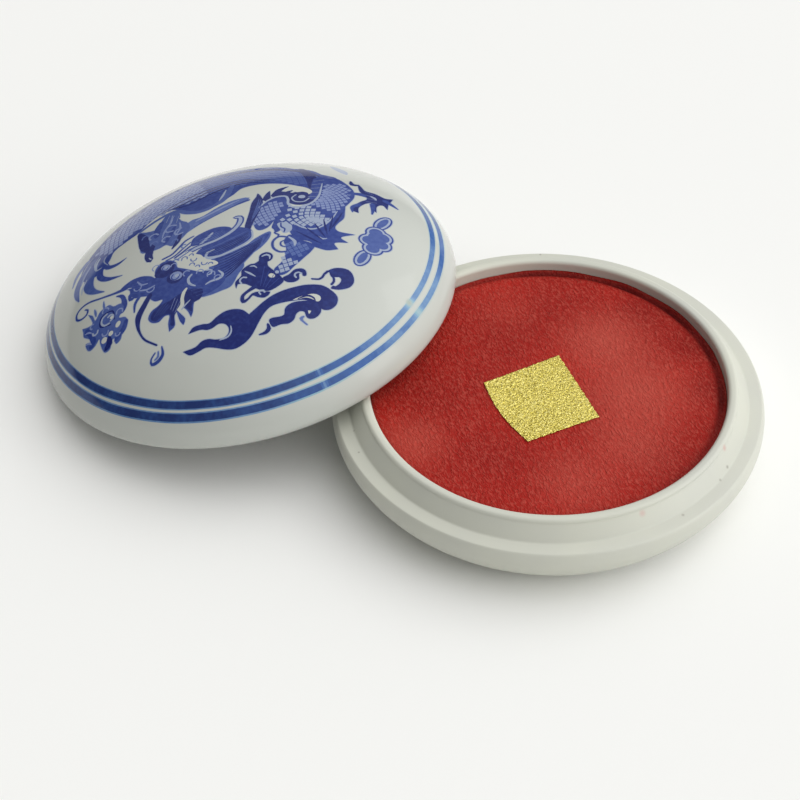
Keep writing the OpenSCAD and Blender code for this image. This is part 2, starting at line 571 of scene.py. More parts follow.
@dataclass(frozen=True)
class BisquePorcelain(Finish):
    """Turned porcelain under a thin satin glaze: an even, chalky off-white with a few specks."""

    roughness: float = 0.42
    body: str = "#CFD0C3"
    shaded: str = "#C9CAC0"
    mottle_mm: float = 20.0
    # Specks in the clay are some 0.1 mm across, and are drawn three times that so that they show
    speck: str = "#8C8478"
    speck_mm: float = 0.32
    speck_apart_mm: float = 8.0
    speck_strength: float = 0.6
    # The clay's grain of about 0.05 mm is too fine to show, and is drawn ten times that
    grain_mm: float = 0.5
    grain_depth_mm: float = 0.05
    grain_strength: float = 0.08
    # Two smears of red paste on the lip, then dark specks on the rim of the dish
    stains: tuple[Stain, ...] = (
        Stain((76.7, -2.9, 16.3), 1.0, "#C98C86", 0.75),
        Stain((67.2, -26.0, 15.5), 1.1, "#CE9C96", 0.5),
        Stain((78.1, -5.3, 13.5), 0.6, "#7F786E", 0.7),
        Stain((77.9, -9.0, 13.1), 0.5, "#7F786E", 0.6),
        Stain((74.2, -21.0, 13.1), 0.5, "#8A8278", 0.6),
        Stain((64.0, -28.9, 14.6), 0.5, "#8A8278", 0.5),
    )

    def inputs(self, add: Adder, place: Socket) -> dict[str, Feed]:
        """Feeds the mottled body colour with its specks and stains, and a fine grain."""
        mottle = add("TexNoise", {"Scale": per_metre(self.mottle_mm), "Detail": 2.0}, {"Vector": place})
        body = add("ValToRGB", {"stops": ((0.35, self.shaded), (0.65, self.body))}, {"Fac": mottle})
        cells = add("TexVoronoi", {"Scale": per_metre(self.speck_apart_mm)}, {"Vector": place})
        reach = self.speck_mm / self.speck_apart_mm
        spot = add("MapRange",
                   {"From Min": reach * 0.5, "From Max": reach, "To Min": self.speck_strength, "To Max": 0.0},
                   {"Value": cells})
        colour = add("Mix", {"data_type": "RGBA", 7: linear(self.speck)}, {0: spot, 6: body})
        grain = add("TexNoise", {"Scale": per_metre(self.grain_mm), "Detail": 3.0}, {"Vector": place})
        bump = add("Bump", {"Strength": self.grain_strength, "Distance": self.grain_depth_mm * MM},
                   {"Height": grain})
        return {"Base Color": self.stained(add, place, colour.outputs[2], self.stains), "Normal": bump}


@dataclass(frozen=True)
class CinnabarPaste(Finish):
    """Cinnabar kneaded with oil and fibre: a dense red with a dull, faintly greasy gloss, and painted light
    and shade in its colour.
    """

    roughness: float = 0.55
    ior: float = 1.45
    specular: float = 0.18
    red: str = "#AD2016"
    deep_red: str = "#9B1911"
    groove_shade_red: str = "#560505"
    patch_mm: float = 18.0
    # The skin's fine folds are about this far apart, and longer along the way that the paste was stirred
    leather_mm: float = 0.42
    leather_turn: float = -41.0
    leather_stretch: float = 2.4
    leather_depth_mm: float = 0.5
    # The folds' crests get a painted highlight, from the first height of the noise fully by the second
    crest_highlight: str = "#C65B4D"
    crest_highlight_heights: Point = (0.44, 0.66)
    crest_highlight_strength: float = 0.4
    # Painted shade and painted light: deeper red where shade falls on the paste, paler where the light's
    # gloss lies on it
    stains: tuple[Stain, ...] = (
        Stain((14.3, -11.5, 14.9), 17.0, "#8A110B", 0.55),
        Stain((30.0, -23.0, 14.9), 12.0, "#8A110B", 0.45),
        Stain((60.0, 24.5, 14.9), 10.0, "#861009", 0.7),
        Stain((67.5, 13.0, 14.9), 8.0, "#861009", 0.6),
        Stain((46.0, 31.0, 14.9), 8.0, "#861009", 0.5),
        Stain((42.5, 18.0, 14.9), 15.0, "#BF4E41", 0.75),
        Stain((54.0, 6.0, 14.9), 18.0, "#BF4E41", 0.75),
        Stain((58.5, -8.5, 14.9), 14.0, "#BF4E41", 0.55),
        Stain((52.0, -23.0, 14.9), 13.0, "#BF4E41", 0.5),
        Stain((17.5, -26.5, 14.9), 11.0, "#BF4E41", 0.55),
        Stain((19.0, 18.0, 14.9), 11.0, "#B03A2E", 0.35),
    )

    def inputs(self, add: Adder, place: Socket) -> dict[str, Feed]:
        """Feeds the red with painted patches of light and shade, painted highlights on the folds' crests,
        painted shade in the groove where the edge attribute says, and a fine leathery grain.
        """
        patches = add("TexNoise", {"Scale": per_metre(self.patch_mm), "Detail": 2.0}, {"Vector": place})
        red = add("ValToRGB", {"stops": ((0.3, self.deep_red), (0.7, self.red))}, {"Fac": patches})
        # The edge attribute holds the painted shade in the groove by the wall
        edge = add("Attribute", {"attribute_name": "edge"})
        stretched = add("Mapping",
                        {"vector_type": "TEXTURE", "Rotation": (0, 0, math.radians(self.leather_turn)),
                         "Scale": (self.leather_stretch, 1, 1)}, {"Vector": place})
        leather = add("TexNoise", {"Scale": per_metre(self.leather_mm), "Detail": 2.0, "Distortion": 0.9},
                      {"Vector": stretched})
        bump = add("Bump", {"Strength": 1.0, "Distance": self.leather_depth_mm * MM}, {"Height": leather})
        # Painted highlight on the crests of the folds
        low, high = self.crest_highlight_heights
        ridges = add("MapRange",
                     {"From Min": low, "From Max": high, "To Max": self.crest_highlight_strength,
                      "interpolation_type": "SMOOTHSTEP"}, {"Value": leather})
        # Painted patches of light and shade over the red
        painted_shade_and_light = self.stained(add, place, red, self.stains)
        highlighted = add("Mix", {"data_type": "RGBA", 7: linear(self.crest_highlight)}, {0: ridges, 6: painted_shade_and_light})
        # Painted shade in the groove by the wall: a dark red laid on by the edge attribute
        groove_shaded = add("Mix", {"data_type": "RGBA", 7: linear(self.groove_shade_red)},
                    {0: edge.outputs["Fac"], 6: highlighted.outputs[2]})
        return {"Base Color": groove_shaded.outputs[2], "Normal": bump}


@dataclass(frozen=True)
class GoldLeaf(Finish):
    """Beaten pale gold leaf pressed on the paste: a yellow metal broken by fine wrinkles."""

    roughness: float = 0.22
    metallic: float = 1.0
    # Painted shade in the crinkle's hollows, the metal's own colour on its slopes and a painted highlight on
    # its crests
    crinkle_shade_and_highlights: Stops = ((0.36, "#8F7E28"), (0.5, "#EBD968"), (0.64, "#FFF29C"))
    # Real leaf crinkles every 0.1 mm or so, and is drawn coarser so that it shows
    crinkle_mm: float = 0.27
    crinkle_depth_mm: float = 0.26

    def inputs(self, add: Adder, place: Socket) -> dict[str, Feed]:
        """Feeds the gold, with painted shade in the crinkle's hollows and a painted highlight on its crests.
        """
        crinkle = add("TexNoise", {"Scale": per_metre(self.crinkle_mm), "Detail": 2.0, "Distortion": 0.7},
                      {"Vector": place})
        # Painted shade in the hollows and a painted highlight on the crests, by the crinkle's height
        gold = add("ValToRGB", {"stops": self.crinkle_shade_and_highlights}, {"Fac": crinkle})
        bump = add("Bump", {"Strength": 1.0, "Distance": self.crinkle_depth_mm * MM}, {"Height": crinkle})
        return {"Base Color": gold, "Normal": bump}


@dataclass(frozen=True)
class SheetPaper(Finish):
    """Matt white paper under the box: a pale ground that bounces light up under the rims."""

    roughness: float = 0.9
    white: str = "#F6F6F4"
    fibre: str = "#F8F8F6"
    # Far from the box the light falls off, from the first distance to the second
    far: str = "#D8D8D5"
    fade_mm: Point = (200.0, 450.0)
    # Paper's own tooth of some 0.1 mm is too fine to show, and is drawn coarser
    tooth_mm: float = 0.4

    def inputs(self, add: Adder, place: Socket) -> dict[str, Feed]:
        """Feeds the white with a slight tooth, and its fall-off far from the box."""
        tooth = add("TexNoise", {"Scale": per_metre(self.tooth_mm)}, {"Vector": place})
        white = add("ValToRGB", {"stops": ((0.0, self.white), (1.0, self.fibre))}, {"Fac": tooth})
        away = add("VectorMath", {"operation": "LENGTH"}, {0: place})
        near, far = (distance * MM for distance in self.fade_mm)
        fade = add("MapRange", {"From Min": near, "From Max": far, "interpolation_type": "SMOOTHSTEP"},
                   {"Value": away.outputs["Value"]})
        ground = add("Mix", {"data_type": "RGBA", 7: linear(self.far)}, {0: fade, 6: white})
        return {"Base Color": ground.outputs[2]}


# The pieces


@dataclass
class Dish:
    """The dish: foot ring, belly, shoulder, flange, leaning lip and the well that holds the paste."""

    sizes: BoxSizes
    finish: BisquePorcelain
    segments: int = 288
    edge_mm: float = 0.35

    def profile(self) -> Profile:
        """Gives half the dish's outline, from the axis below to the axis inside the well."""
        s = self.sizes
        belly = [(s.foot_r + x, s.widest_z - y) for x, y in
                 superellipse((0, 0), (s.foot_inset, s.widest_z), s.belly_power, steps=24)]
        well = arc((s.dish_r - s.dish_fillet, s.floor_z + s.dish_fillet),
                   (s.dish_fillet, s.dish_fillet), 0, -90)
        points = ([(0.0, s.foot_h), (s.foot_r - s.foot_w - s.foot_h / 2, s.foot_h),
                   (s.foot_r - s.foot_w, 0.0)]
                  + belly[::-1]
                  + arc((s.flange_r, s.widest_z), (s.shoulder_inset, s.shoulder_h), 0, 90)[1:]
                  + [(s.lip_foot_r, s.flange_z)]
                  + arc((s.lip_top_r - s.lip_round, s.base_h - s.lip_round),
                        (s.lip_round, s.lip_round), 0, 90)
                  + arc((s.dish_r + s.lip_round, s.base_h - s.lip_round),
                        (s.lip_round, s.lip_round), 90, 180)
                  + well + [(0.0, s.floor_z)])
        return softened(points, self.edge_mm)

    def build(self, axis: Matrix) -> bpy.types.Object:
        """Builds the dish.

        Args:
            axis: Place of the dish's axis in the frame.

        Returns:
            The dressed dish.
        """
        parts = MeshParts()
        parts.revolve(self.profile(), self.segments)
        return parts.build("porcelain_dish", axis, self.finish)


@dataclass
class Paste:
    """The paste: wrinkled like leather, with a groove and a thin raised line by its wall at the back."""

    sizes: BoxSizes
    finish: CinnabarPaste
    cells: int = 272
    # Wrinkles: their spacing, height, direction and stretch, and the width of the calm strip by the wall
    wrinkle_mm: float = 0.7
    wrinkle_h: float = 0.13
    wrinkle_turn: float = -41.0
    wrinkle_along: float = 0.45
    calm_w: float = 2.5
    # How far they stray, and how often they do and the ridges come, as shares of the wrinkles
    stray: float = 0.9
    stray_rate: float = 0.5
    ridge_rate: float = 0.7
    # How sharp the ridges are, and their share of the height
    ridge_sharp: float = 2.4
    ridge_share: float = 0.4
    # The hand-pressed swell, which flattens towards the wall by a high power of the radius
    swell_mm: float = 22.0
    swell_h: float = 0.3
    swell_power: int = 6
    # The groove and the raised line outside it
    groove_in: float = 1.15
    groove_w: float = 0.6
    groove_h: float = 0.8
    raised_w: float = 0.5
    raised_h: float = 0.3
    # The stretch of the wall that has them: middle and reach in degrees, how soon it is at its full
    # depth, the depth's mean and variation, and the length of its waves
    back_middle: float = 70.0
    back_reach: float = 122.0
    back_full: float = 1.7
    back_depth: Point = (0.82, 0.36)
    back_wave_mm: float = 9.0
    # Just under 1, so that the rolled edge stays short of upright
    roll_steep: float = 0.98
    # Painted shade along the groove's line all round, what the back adds, its width, and the hidden side's
    groove_shade_round: float = 0.12
    groove_shade_back: float = 0.85
    groove_shade_w: float = 1.0
    side_shade: float = 0.3
    # Height above the well's floor of a ring that splits the side
    side_h: float = 6.0

    def swell(self, x: float, y: float) -> float:
        """Gives the height of the broad, hand-pressed surface at a place.

        Args:
            x: The place's first coordinate.
            y: Its second one.

        Returns:
            The height above the table.
        """
        radius = math.hypot(x, y)
        broad = wave(x / self.swell_mm, y / self.swell_mm, seed=3.1)
        fade = max(0.0, 1 - (radius / self.sizes.paste_r) ** self.swell_power)
        return self.sizes.crown_z(radius) + self.swell_h * broad * fade

    def wrinkle(self, x: float, y: float) -> float:
        """Gives the height of the wrinkles at a place.

        Args:
            x: The place's first coordinate.
            y: Its second one.

        Returns:
            The height over the swell.
        """
        turn = math.radians(self.wrinkle_turn)
        u = (x * math.cos(turn) + y * math.sin(turn)) * self.wrinkle_along / self.wrinkle_mm
        v = (y * math.cos(turn) - x * math.sin(turn)) / self.wrinkle_mm
        stray = self.stray * wave(u * self.stray_rate, v * self.stray_rate, seed=7.7)
        fine = wave(u + stray, v - stray, seed=0.0)
        crease = wave(u * self.ridge_rate - stray, v * self.ridge_rate + stray, seed=5.0)
        ridge = 1 - self.ridge_sharp * abs(crease)
        calm = within((self.sizes.paste_r - math.hypot(x, y)) / self.calm_w)
        return self.wrinkle_h * calm * ((1 - self.ridge_share) * fine + self.ridge_share * ridge)

    def at_back(self, x: float, y: float) -> float:
        """Tells how deep in the stretch with the groove a place's direction lies.

        Args:
            x: The place's first coordinate.
            y: Its second one.

        Returns:
            The share, from 0 outside the stretch to about 1.
        """
        off = abs(turn_between(math.degrees(math.atan2(y, x)), self.back_middle))
        share = max(0.0, 1 - off / self.back_reach)
        mean, varied = self.back_depth
        depth = mean + varied * wave(x / self.back_wave_mm, y / self.back_wave_mm, seed=8.0)
        return min(1.0, self.back_full * share) ** 2 * depth

    def top(self, x: float, y: float) -> float:
        """Gives the height of the paste's top at a place, with its wrinkles, groove and rolled edge.

        Args:
            x: The place's first coordinate.
            y: Its second one.

        Returns:
            The height above the table.
        """
        s = self.sizes
        inward = s.paste_r - math.hypot(x, y)
        back = self.at_back(x, y)
        groove = math.exp(-((inward - self.groove_in) / self.groove_w) ** 2)
        into_roll = within((s.paste_roll - inward) / s.paste_roll)
        roll = s.paste_roll * (1 - math.sqrt(1 - self.roll_steep * into_roll ** 2))
        climb = within((self.raised_w - inward) / self.raised_w)
        return (self.swell(x, y) + self.wrinkle(x, y) - self.groove_h * back * groove
                - roll * (1 - back) + self.raised_h * back * climb ** 2)

    def edge(self, x: float, y: float) -> float:
        """Tells how much painted shade darkens the paste at a place, most in the groove by the wall, from 0
        to 1.
        """
        inward = self.sizes.paste_r - math.hypot(x, y)
        darkest = self.groove_shade_round + self.groove_shade_back * self.at_back(x, y)
        return darkest * math.exp(-((inward - self.groove_in) / self.groove_shade_w) ** 2)

    def build(self, axis: Matrix) -> bpy.types.Object:
        """Builds the paste.

        Args:
            axis: Place of the dish's axis in the frame.

        Returns:
            The dressed paste.
        """
        s = self.sizes
        parts = MeshParts()
        above = parts.disc(self.cells, s.paste_r, self.top)
        # Painted shade at each vertex of the top, deepest in the groove by the wall
        edges = [self.edge(x, y) for x, y, _ in parts.verts]
        count = len(above)
        inner = s.dish_fillet - s.paste_gap
        side = [(s.paste_r, s.floor_z + self.side_h)]
        side += arc((s.dish_r - s.dish_fillet, s.floor_z + s.dish_fillet), (inner, inner), 0, -90, steps=4)
        for radius, z in side:
            ring = parts.ring(radius, z, count)
            parts.band(ring, above)
            above = ring
        parts.cap(above, s.floor_z + s.paste_gap, upward=False)
        # The hidden side and floor take an even painted shade
        edges += [self.side_shade] * (len(parts.verts) - len(edges))
        paste = parts.build("seal_paste_fill", axis, self.finish)
        paste.data.attributes.new("edge", "FLOAT", "POINT").data.foreach_set("value", edges)
        return paste


@dataclass
class Foil:
    """The gold foil: a hand-cut leaf with one bowed side, wrinkled where it was pressed on the paste."""

    paste: Paste
    finish: GoldLeaf
    width: float = 17.4
    length: float = 19.6
    # How much wider one end is than the other, how far a long side bows out, and how skewed an end is
    taper: float = 1.6
    bow: float = 1.1
    slant: float = 0.64
    thickness: float = 0.08
    gap: float = 0.1
    turn: float = -40.7
    middle: Point = (0.5, -4.3)
    cell_mm: float = 0.125
    # Wrinkles: their spacing and height, the share of it that lies under them, and each kind's share
    wrinkle_mm: float = 0.48
    wrinkle_h: float = 0.16
    wrinkle_floor: float = 0.25
    wrinkle_share: float = 0.4
    # How often the wrinkles stray and the ridges come, as shares of the wrinkles, and how sharp ridges are
    stray_rate: float = 0.6
    ridge_rate: float = 0.8
    ridge_sharp: float = 2.0
    # The cut edge's raggedness, how fast it fades inwards, and how many waves of it go along a side
    ragged: float = 0.22
    ragged_fade: float = 40.0
    ragged_waves: float = 31.0

    def place(self, s: float, t: float) -> Point:
        """Turns shares along and across the foil into a place on the paste.

        Args:
            s: Share of the foil's length.
            t: Share of its width.

        Returns:
            The place, from the dish's axis.
        """
        wide = self.width / 2 + self.taper / 4
        narrow = self.width / 2 - self.taper / 4
        half = wide + (narrow - wide) * s
        x = self.length * (s - 0.5) + self.slant * (1 - s) * (0.5 - t)
        y = half * (2 * t - 1) - self.bow * math.sin(math.pi * s) * (1 - t)
        ragged = self.ragged * math.exp(-min(s, 1 - s, t, 1 - t) * self.ragged_fade)
        x += ragged * wave(s * self.ragged_waves, t * self.ragged_waves, seed=1.0)
        y += ragged * wave(s * self.ragged_waves, t * self.ragged_waves, seed=5.0)
        a = math.radians(self.turn)
        return (self.middle[0] + x * math.cos(a) - y * math.sin(a),
                self.middle[1] + x * math.sin(a) + y * math.cos(a))

    def wrinkle(self, x: float, y: float) -> float:
        """Gives the foil's wrinkle at a place.

        Args:
            x: The place's first coordinate.
            y: Its second one.

        Returns:
            The height, from 0 at a hollow to 1 on a ridge.
        """
        u, v = x * (1 / self.wrinkle_mm), y * (1 / self.wrinkle_mm)
        stray = wave(u * self.stray_rate, v * self.stray_rate, seed=2.0)
        fine = wave(u + stray, v + stray, seed=4.0)
        crease = wave(u * self.ridge_rate - stray, v * self.ridge_rate, seed=6.0)
        ridge = 1 - self.ridge_sharp * abs(crease)
        return within(self.wrinkle_floor + self.wrinkle_share * fine + self.wrinkle_share * ridge)

    def build(self, axis: Matrix) -> bpy.types.Object:
        """Builds the foil.

        Args:
            axis: Place of the dish's axis in the frame.

        Returns:
            The dressed foil.
        """
        along = round(self.length / self.cell_mm)
        over = round(self.width / self.cell_mm)
        parts = MeshParts()
        for thick in (0.0, self.thickness):
            for i in range(along + 1):
                for j in range(over + 1):
                    x, y = self.place(i / along, j / over)
                    lift = self.gap + self.wrinkle_h * self.wrinkle(x, y) + thick
                    parts.verts.append((x, y, self.paste.swell(x, y) + lift))
        row = over + 1
        sheet = (along + 1) * row
        for i in range(along):
            for j in range(over):
                a = i * row + j
                parts.faces.append((a, a + 1, a + row + 1, a + row))
                a += sheet
                parts.faces.append((a, a + row, a + row + 1, a + 1))
        edge = ([(i, 0) for i in range(along)] + [(along, j) for j in range(over)]
                + [(i, over) for i in range(along, 0, -1)] + [(0, j) for j in range(over, 0, -1)])
        ring = [i * row + j for i, j in edge]
        for a, b in zip(ring, ring[1:] + ring[:1]):
            parts.faces.append((a, b, b + sheet, a + sheet))
        return parts.build("gold_foil_leaf", axis, self.finish)


class Ink(Enum):
    """How much cobalt a mark leaves under the glaze."""

    BARE = 0.0
    HAZE = 0.24
    PALE = 0.3
    THIN = 0.45
    WASH = 0.6
    SOFT = 0.7
    FULL = 0.82
    DEEP = 1.0


@dataclass(frozen=True)
class Mark:
    """One closed shape of the print, in lid millimetres, with its ink."""

    ink: Ink
    outline: np.ndarray


@dataclass
class DragonPrint:
    """The cobalt dragon on the crown, drawn as brush strokes and washes in lid millimetres.

    On the print +X points to the dish, and the lid's axis is the origin. Later marks cover
    earlier ones.
    """

    # Spacing of the points along a mark's edge and along the middle of rows of scales
    step: float = 0.45
    spine_step: float = 0.1
    # The least width of a stroke, and the knots of a curl
    thinnest: float = 0.05
    curl_knots: int = 5
    # A round spot's corners: the fewest, and how many for each millimetre of its radius
    spot_corners: int = 10
    corners_per_mm: int = 14
    # A scale's half width and half length, and the distance from row to row, in shares of the pitch
    scale_wide: float = 0.42
    scale_long: float = 0.47
    scale_row: float = 0.56
    # Spacing of the spikes, half the width of a spike's foot in shares of it, and how far its tip
    # sweeps back in shares of its length
    spike_mm: float = 2.4
    spike_foot: float = 0.42
    spike_sweep: float = 0.7
    # A hair's width at its tips, as a share of its middle's
    hair_tip: float = 0.3
    # How far a dark mark bleeds into the glaze round it
    haze_mm: float = 0.17
    drawn: list[Mark] = field(default_factory=list)

    def wash(self, ink: Ink, *points: Point, corners: Sequence[int] = ()) -> None:
        """Adds a filled shape with a smooth edge, which turns sharply only at the corners named."""
        self.drawn.append(Mark(ink, spline(points, self.step, True, corners)))

    def stroke(self, ink: Ink, *knots: Knot) -> None:
        """Adds a brush stroke.

        Args:
            ink: The stroke's ink.
            knots: Places along its middle, each with the stroke's width there.
        """
        line = spline(knots, self.step)
        path, half = line[:, :2], np.maximum(line[:, 2:], self.thinnest) / 2
        way = np.gradient(path, axis=0)
        way /= np.hypot(way[:, 0], way[:, 1])[:, None]
        side = np.stack([-way[:, 1], way[:, 0]], 1) * half
        ends = [path[-1:] + way[-1:] * half[-1], path[:1] - way[:1] * half[0]]
        self.drawn.append(Mark(ink, np.concatenate([path + side, ends[0], (path - side)[::-1], ends[1]])))

    def strokes(self, ink: Ink, lines: Sequence[Sequence[Knot]]) -> None:
        """Adds several brush strokes of one ink."""
        for knots in lines:
            self.stroke(ink, *knots)

    def dot(self, ink: Ink, x: float, y: float, radius: float, tall: float = 1.0) -> None:
        """Adds a round or oval spot.

        Args:
            ink: The spot's ink.
            x: Its middle's first coordinate.
            y: Its middle's second one.
            radius: Half its width.
            tall: Its height as a share of its width.
        """
        corners = max(self.spot_corners, round(self.corners_per_mm * radius))
        angles = np.linspace(0, 2 * np.pi, corners, endpoint=False)
        spot = np.stack([x + radius * np.cos(angles), y + radius * tall * np.sin(angles)], 1)
        self.drawn.append(Mark(ink, spot))

    def eye(self, x: float, y: float, radius: float) -> None:
        """Adds an eye: a pale oval in a dark ring, with a curl for its pupil.

        Args:
            x: Its middle's first coordinate.
            y: Its middle's second one.
            radius: The dark ring's radius.
        """
        self.dot(Ink.DEEP, x, y, radius)
        self.dot(Ink.THIN, x + 0.05 * radius, y + 0.1 * radius, radius * 0.74, 0.86)
        self.curls(Ink.FULL, 0.16 * radius, (x, y, 0.46 * radius, 150, 250))
        self.dot(Ink.PALE, x + 0.12 * radius, y + 0.18 * radius, radius * 0.26)

    def hairs(self, ink: Ink, count: int, width: float, first: Sequence[Point],
              last: Sequence[Point]) -> None:
        """Adds fine strokes that pass gradually from one guide line to another.

        Args:
            ink: The hairs' ink.
            count: Number of hairs.
            width: Width of each at its middle.
            first: Places along the first hair.
            last: The same number of places along the last one.
        """
        taper = [self.hair_tip] + [1.0] * (len(first) - 2) + [self.hair_tip]
        for share in np.linspace(0, 1, count):
            knots = (1 - share) * np.array(first) + share * np.array(last)
            self.stroke(ink, *((x, y, width * thin) for (x, y), thin in zip(knots, taper)))

    def curls(self, ink: Ink, width: float, *curls: tuple[float, float, float, float, float]) -> None:
        """Adds short round brush curls, each given by its middle, radius, first angle and turn in degrees."""
        for x, y, radius, start, turn in curls:
            angles = np.radians(np.linspace(start, start + turn, self.curl_knots))
            self.stroke(ink, *((x + radius * math.cos(a), y + radius * math.sin(a), width) for a in angles))

    def scales(self, ink: Ink, pitch: float, *spine: Knot) -> None:
        """Adds staggered rows of scales.

        Args:
            ink: The scales' ink.
            pitch: Spacing of the scales.
            spine: Places along the rows' middle, each with half the rows' width there.
        """
        line = spline(spine, self.spine_step)
        along = np.concatenate([[0], np.cumsum(np.hypot(*np.diff(line[:, :2], axis=0).T))])
        turn = np.radians(np.arange(0, 360, 90))
        for row, place in enumerate(np.arange(pitch / 2, along[-1], self.scale_row * pitch)):
            x, y, reach = (float(np.interp(place, along, line[:, k])) for k in range(3))
            ahead = [float(np.interp(place + pitch / 4, along, line[:, k])) for k in range(2)]
            behind = [float(np.interp(place - pitch / 4, along, line[:, k])) for k in range(2)]
            way = np.subtract(ahead, behind) / math.dist(ahead, behind)
            over = np.array([-way[1], way[0]])
            count = math.floor(reach / pitch + 1)
            for k in range(-count, count + 1):
                across = (k + row % 2 / 2) * pitch
                if abs(across) > reach:
                    continue
                middle = np.array([x, y]) + over * across
                lozenge = [middle + pitch * (self.scale_wide * math.cos(a) * over
                                             + self.scale_long * math.sin(a) * way) for a in turn]
                self.drawn.append(Mark(ink, np.array(lozenge)))

    def spikes(self, ink: Ink, length: float, *edge: Point) -> None:
        """Adds a row of back-swept spikes along an edge, on its left.

        Args:
            ink: The spikes' ink.
            length: How far each stands out.
            edge: Places along the edge.
        """
        line = spline(edge, self.spike_mm)
        for before, here, after in zip(line, line[1:], line[2:]):
            way = (after - before) / math.dist(after, before)
            out = np.array([-way[1], way[0]])
            foot = self.spike_mm * self.spike_foot * way
            tip = here + out * length + way * length * self.spike_sweep
            self.drawn.append(Mark(ink, np.array([here - foot, tip, here + foot])[::-1]))

    def coil(self) -> None:
        """Draws the back, from the top of the print round its left to the tail."""
        self.spikes(Ink.FULL, 1.7, (12.5, 27.8), (8, 28.6), (4, 29.8), (-4, 29.8), (-9, 29.2), (-15, 27),
                    (-21, 23), (-26.5, 17.6), (-30.4, 11.2), (-32.8, 4.4), (-34, -3), (-34, -9.5))
        self.wash(Ink.FULL, (12, 28.3), (8, 28.8), (4.5, 30.2), (0, 30), (-4, 30.3), (-9, 29.6), (-15, 27.5),
                  (-21, 23.5), (-26.5, 18), (-30.5, 11.5), (-33, 4.5), (-34.3, -3), (-34.3, -9.5),
                  (-32.5, -14.5), (-29, -16.5), (-25.8, -14.5), (-25.6, -11), (-26.2, -8), (-24.5, -5),
                  (-22.8, -2.5), (-22.2, 1), (-20.8, 4.5), (-18, 6.2), (-15, 5), (-12, 4.2), (-8.5, 6.3),
                  (-6.7, 9), (-5.6, 12.5), (-5.3, 16), (-3, 18.2), (0, 19.6), (4, 20.4), (8, 20.3), (11, 20),
                  (13.5, 23))
        self.scales(Ink.SOFT, 1.7, (9, 24.5, 3), (2, 25.2, 4), (-4, 24.6, 4.6), (-10, 22, 5.4),
                    (-16, 17.5, 6.4))
        self.scales(Ink.THIN, 1.7, (-16.6, 17, 6.2), (-21, 12, 6), (-25.5, 5.5, 4.8), (-28.5, -1, 4),
                    (-30, -8, 3))
        self.hairs(Ink.WASH, 5, 0.45,
                   ((3, 22.4), (-4, 22), (-11, 18.8), (-17.5, 13), (-22, 6.5), (-25, -0.5)),
                   ((3, 27.4), (-5, 27), (-13.5, 23.2), (-21.5, 16), (-27, 8), (-30, -1)))
        self.hairs(Ink.DEEP, 3, 0.6, ((0, 20.6), (-7, 18.5), (-11, 14.5), (-15, 8), (-19, 7)),
                   ((0, 22), (-8, 20.5), (-14, 15.5), (-19, 9), (-22, 3)))
        self.stroke(Ink.DEEP, (11, 26.5, 0.4), (4, 28.6, 1.2), (-4, 28.4, 1.3), (-11, 26.3, 1.2),
                    (-18, 22.6, 0.2))
        self.stroke(Ink.SOFT, (-9, 18, 0.8), (-7.8, 14.5, 1.6), (-6.8, 11, 1.6), (-7.4, 7.6, 1.4),
                    (-9.6, 5, 1.2), (-13, 4.6, 1.4), (-17, 5.4, 1.2), (-20, 2.5, 1), (-22.4, -2, 0.8))
        self.stroke(Ink.PALE, (-9, 15, 0.3), (-8, 12, 0.6), (-7.6, 10, 0.3))
        self.stroke(Ink.DEEP, (1.5, 30, 1.5), (4.5, 28, 2.4), (7.6, 25, 2.6), (10, 22, 2.6), (11.6, 19.6, 2))

    def tail_tuft(self) -> None:
        """Draws the claws and the tuft at the left end of the body."""
        self.stroke(Ink.WASH, (-34.2, -9, 1.6), (-34.8, -13, 1.2), (-33.6, -17, 0.3))
        self.stroke(Ink.SOFT, (-31.6, -10, 2.4), (-32, -14, 2), (-31.2, -18, 1.7), (-29.6, -20.6, 1.2),
                    (-27.9, -22.2, 0.2))
        self.stroke(Ink.SOFT, (-29.6, -12, 2.6), (-28.6, -16, 2.8), (-26.8, -18.9, 2.4), (-24.2, -20.4, 1.4),
                    (-20.9, -20.8, 0.2))
        self.stroke(Ink.FULL, (-27, -13.4, 2), (-25, -16.2, 1.5), (-22, -17.2, 1.2), (-18.2, -16.5, 0.15))
        self.stroke(Ink.FULL, (-26.6, -11.8, 1.4), (-24.4, -13.4, 1.3), (-22, -12.8, 1), (-20.5, -11, 0.15))
        self.stroke(Ink.PALE, (-29.5, -16, 0.3), (-29.2, -18.4, 0.6), (-28.2, -20.4, 0.2))
        self.stroke(Ink.PALE, (-29.8, -9.4, 0.5), (-29.4, -11.8, 0.7), (-28, -13.6, 0.5), (-26.8, -13, 0.3))
        self.stroke(Ink.THIN, (-31.4, -11.5, 0.4), (-31.2, -14.5, 0.7), (-30.4, -17.5, 0.3))
        self.hairs(Ink.PALE, 3, 0.3, ((-33, -8), (-33.2, -11), (-32.6, -14)),
                   ((-28, -9), (-27.4, -11), (-25, -12.6)))

